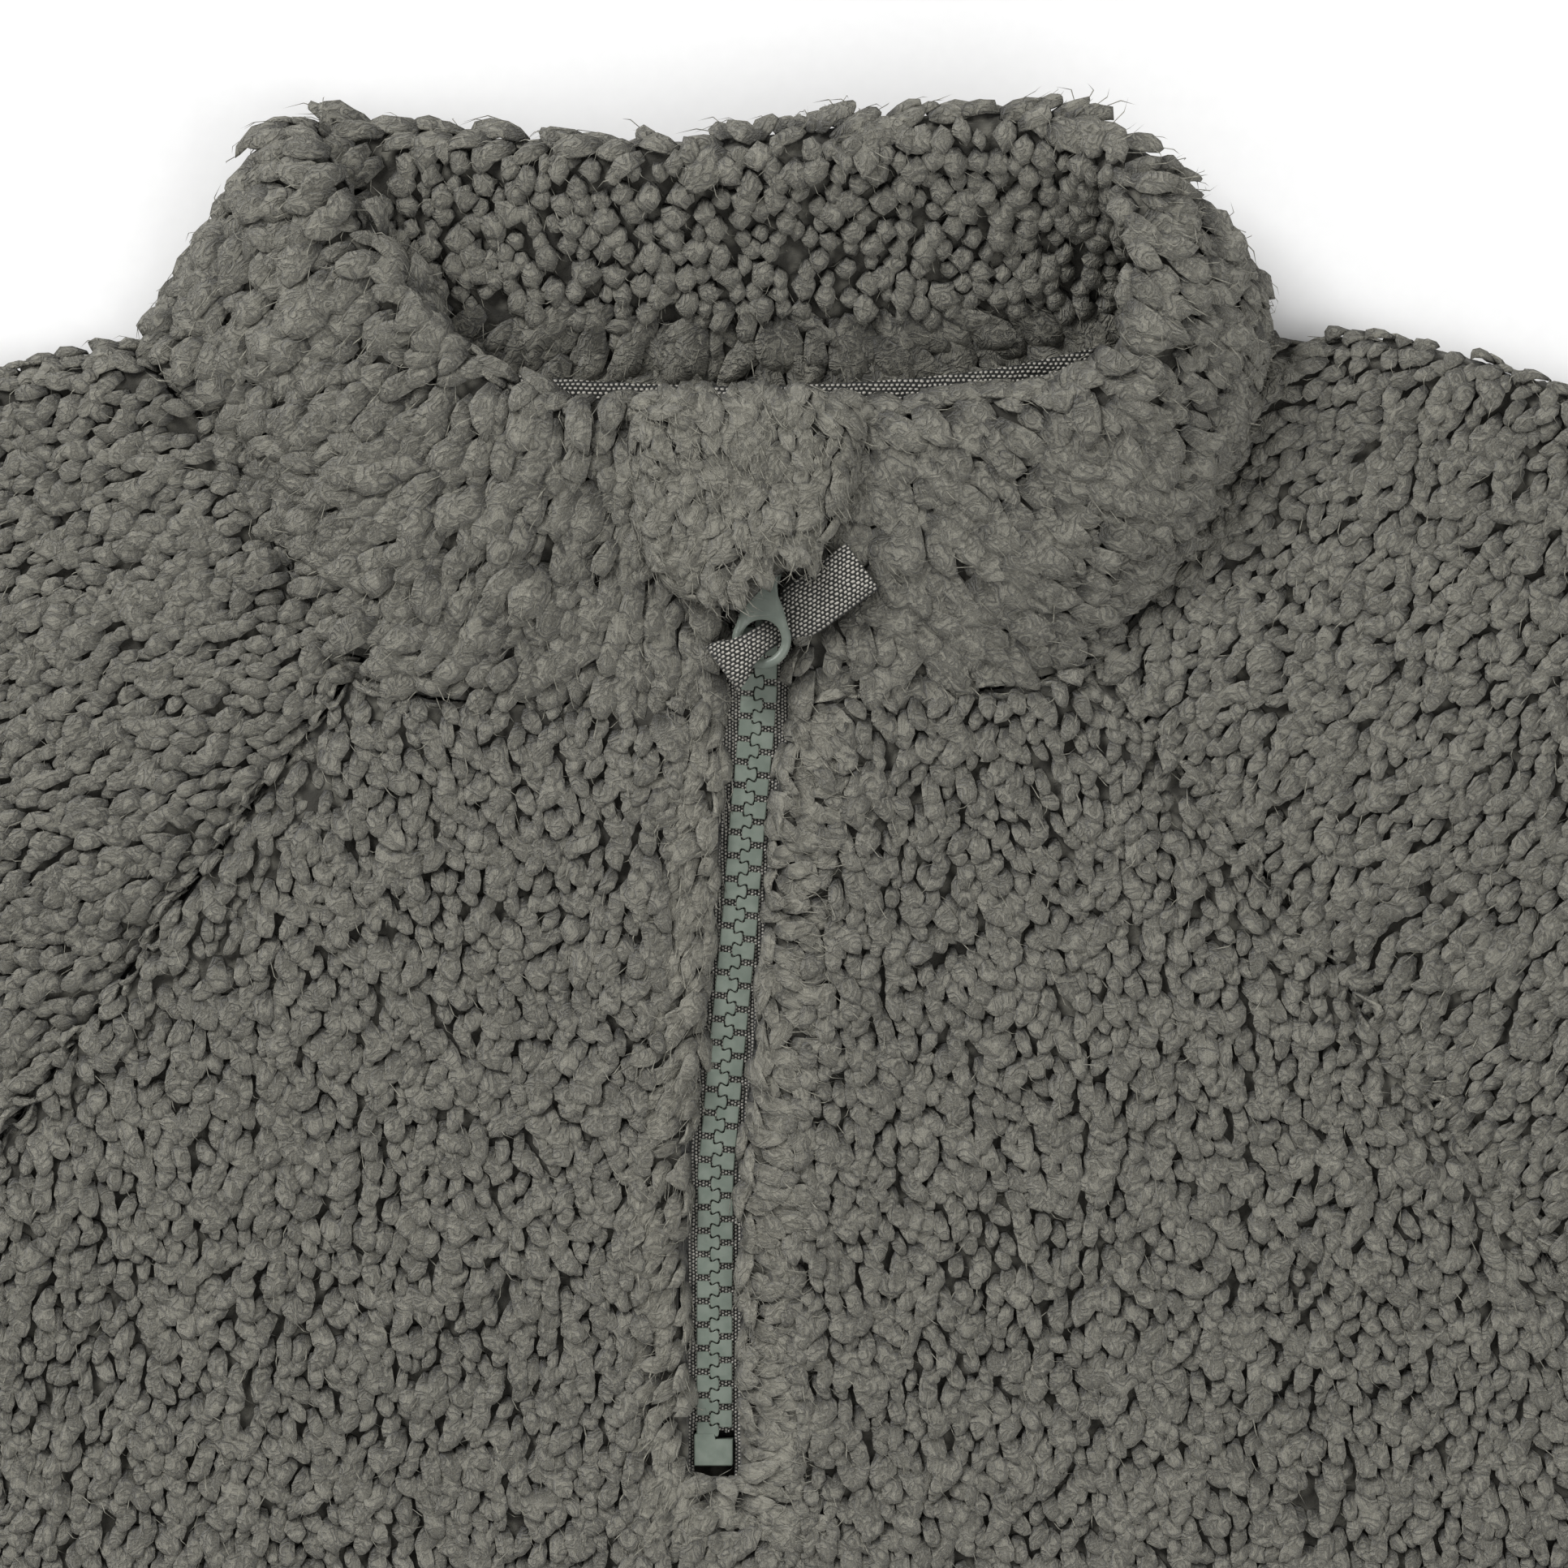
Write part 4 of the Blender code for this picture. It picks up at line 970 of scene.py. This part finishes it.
NECK_TAPE_FINISH = woven_finish("neck_tape_weave", 0.9, 0.7, (1.0, 0.0), 0.5)
neck_tape = laid_cloth("woven_neck_tape", "neck_tape", 0.0, step=9.0)
neck_tape.data.materials.append(NECK_TAPE_FINISH)
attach(neck_tape, "garment")
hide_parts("neck_tape")

# ---- Collar -------------------------------------------------------------------------------------------------------
# The stand collar is one band folded double at its rim. Its pile is longer, in broad layered locks that fall away
# from the rim outside, and in short round curls inside.

COLLAR_CREASES = [
    (-30.0, -36.0, -24.0, -50.0, 1.4, 6.0),
    (-60.0, -8.0, -48.0, -34.0, 0.8, 6.0),
    (52.0, -20.0, 60.0, -48.0, 0.7, 6.0),
]

collar = laid_cloth("collar_ground", "collar", 2.3, step=5.0, creases=COLLAR_CREASES, rests_below=7.0)
collar.data.materials.append(SHADED_GROUND)
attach(collar, "garment")
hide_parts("collar")

OPENING_MIDDLE = (4.0, 6.0)


def collar_nap(x, y, z, up):
    """Outside, the locks fall away from the opening and down; inside, they fall down into it."""
    out = Vector((x - OPENING_MIDDLE[0], (y - OPENING_MIDDLE[1]) * 1.3, 0.0)).normalized()
    if y < 0.0:
        aside = min(max(x / 60.0, -1.0), 1.0)
        return Vector((1.3 * aside if x < 0.0 else 0.8 * aside, -1.0 + 0.5 * abs(aside), -0.3))
    return Vector((out.x * 0.8, -0.45, -0.6))


def inside_collar(x, y, z, up):
    """1 where the collar's face looks towards the opening from the back."""
    return 1.0 if y > 2.0 and up.y < 0.25 and abs(x - 4.0) < 62.0 else 0.0


petals = shape_set(
    "petals",
    [leaf(f"petal_{i}", i + 60, 7.8, 4.9, 4.0, 1.4, 1.4) for i in range(8)]
    + [leaf(f"short_petal_{i}", i + 70, 5.6, 4.0, 3.2, 1.4, 1.4) for i in range(3)],
)
curls = shape_set("curls", [tuft(f"curl_{i}", i + 80, 4.3, 3.9, 2.9, 8, (0.0, 0.55, 0.9), 0.3, 0.16) for i in range(7)])
ground = bare_ground("collar_out", collar, collar_nap, lambda *at: 1.0 - inside_collar(*at), 2.3, seams=SEAMS)
collar_out = planted("collar_pile_outside", ground, petals, FLEECE, 2.45, 21, lean=0.5, uneven=0.26, swirl=1.5)
ground = bare_ground("collar_in", collar, lambda *at: (0.0, -1.0, -0.4), inside_collar, 2.3)
collar_in = planted("collar_pile_inside", ground, curls, FLEECE, 2.5, 23, lean=0.2, uneven=0.25)
collar_fuzz = fuzzed("collar_fuzz", collar_out, FIBRE, 2.3, 37, collar_nap, 1.15)
inner_fuzz = fuzzed("collar_inner_fuzz", collar_in, FIBRE, 2.4, 39, lambda *at: (0.0, -1.0, -0.4), 0.8)

# ---- Chin guard ---------------------------------------------------------------------------------------------------
# A flap of the same fleece, brushed smooth, is sewn over the top of the zip and hides the slider.

guard = laid_cloth("guard_ground", "chin_guard", 0.7, step=3.0)
guard.data.materials.append(BRUSHED)
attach(guard, "garment")
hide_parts("chin_guard")
GUARD_LOCKS_END = ((-10.0, -45.0), (0.8, -45.5), (5.0, -41.3), (10.8, -39.5))


def on_the_guard(x, y, z, up):
    """1 except along the mouth, where shorter pile leaves the puller's plate in sight."""
    return 1.0 if y > np.interp(x, *zip(*GUARD_LOCKS_END)) else 0.0


ground = bare_ground("guard_out", guard, lambda *at: (0.1, -1.0, 0.0), on_the_guard, 0.7)
guard_pile = planted("guard_pile", ground, locks, BRUSHED, 1.9, 27, size=0.95, lean=0.2, swirl=3.4)
guard_fuzz = fuzzed("guard_fuzz", guard_pile, FIBRE, 1.1, 27, lambda *at: (0.1, -1.0, 0.0), 1.1)

# ---- Ring puller --------------------------------------------------------------------------------------------------
# A flat ring of coated metal on a short shank, hinged on the slider.

puller = laid_cloth("ring_puller", "zip_pull", 0.0, step=2.5)
puller.data.materials.append(COATED)
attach(puller, "puller")
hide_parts("zip_pull")

# ---- Webbing tab --------------------------------------------------------------------------------------------------
# A short length of heather webbing is threaded through the ring and turned back on itself.

TAB_FINISH = woven_finish("tab_weave", 0.88, 0.62, (0.81, 0.586), 0.55)
tab = laid_cloth("webbing_tab", "pull_tab", 0.0, step=3.0)
tab.data.materials.append(TAB_FINISH)
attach(tab, "puller")
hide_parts("pull_tab")

# ---- Studio -------------------------------------------------------------------------------------------------------
# A plain pale floor, a broad soft light from the upper left, weaker ones round it, and a camera straight above.

FRAME_WIDTH = 260.8
FRAME_MIDDLE = (8.6, 135.6)
CAMERA_RISE = 1.212

floor_mesh = bpy.data.meshes.new("floor")
floor_mesh.from_pydata([(-2, -2, -0.0003), (2, -2, -0.0003), (2, 2, -0.0003), (-2, 2, -0.0003)], [], [(0, 1, 2, 3)])
floor = bpy.data.objects.new("floor", floor_mesh)
bpy.context.scene.collection.objects.link(floor)
paper, wires, shader, where = finish_of("pale_paper", 0.9, 0.0, 0.5, 0.1)
fibre = wires.noise(where, 350.0, 2.0)
wires.tree.links.new(wires.tint(fibre, (0.9, 0.9, 0.9), (0.94, 0.94, 0.94)), shader.inputs["Base Color"])
floor.data.materials.append(paper)


def soft_light(name, place, aim, size, power):
    lamp = bpy.data.lights.new(name, "AREA")
    lamp.shape = "SQUARE"
    lamp.size = size
    lamp.energy = power
    made = bpy.data.objects.new(name, lamp)
    made.location = place
    made.rotation_euler = (Vector(aim) - Vector(place)).to_track_quat("-Z", "Y").to_euler()
    bpy.context.scene.collection.objects.link(made)


soft_light("key", (-0.9, 1.1, 1.3), (0.0, 0.13, 0.0), 0.7, 22.0)
soft_light("fill", (1.1, -0.4, 1.3), (0.0, 0.13, 0.0), 1.2, 7.0)
sky = bpy.data.worlds.new("studio")
sky.use_nodes = True
sky.node_tree.nodes["Background"].inputs["Color"].default_value = (1.0, 1.0, 1.0, 1.0)
sky.node_tree.nodes["Background"].inputs["Strength"].default_value = 0.6
bpy.context.scene.world = sky
bpy.context.scene.view_settings.view_transform = "Standard"

lens = bpy.data.cameras.new("camera")
lens.sensor_width = 36.0
lens.lens = 36.0 * (CAMERA_RISE - 0.012) / (FRAME_WIDTH * MM)
lens.clip_end = 20.0
camera = bpy.data.objects.new("camera", lens)
camera.location = (FRAME_MIDDLE[0] * MM, FRAME_MIDDLE[1] * MM, CAMERA_RISE)
bpy.context.scene.collection.objects.link(camera)
bpy.context.scene.camera = camera
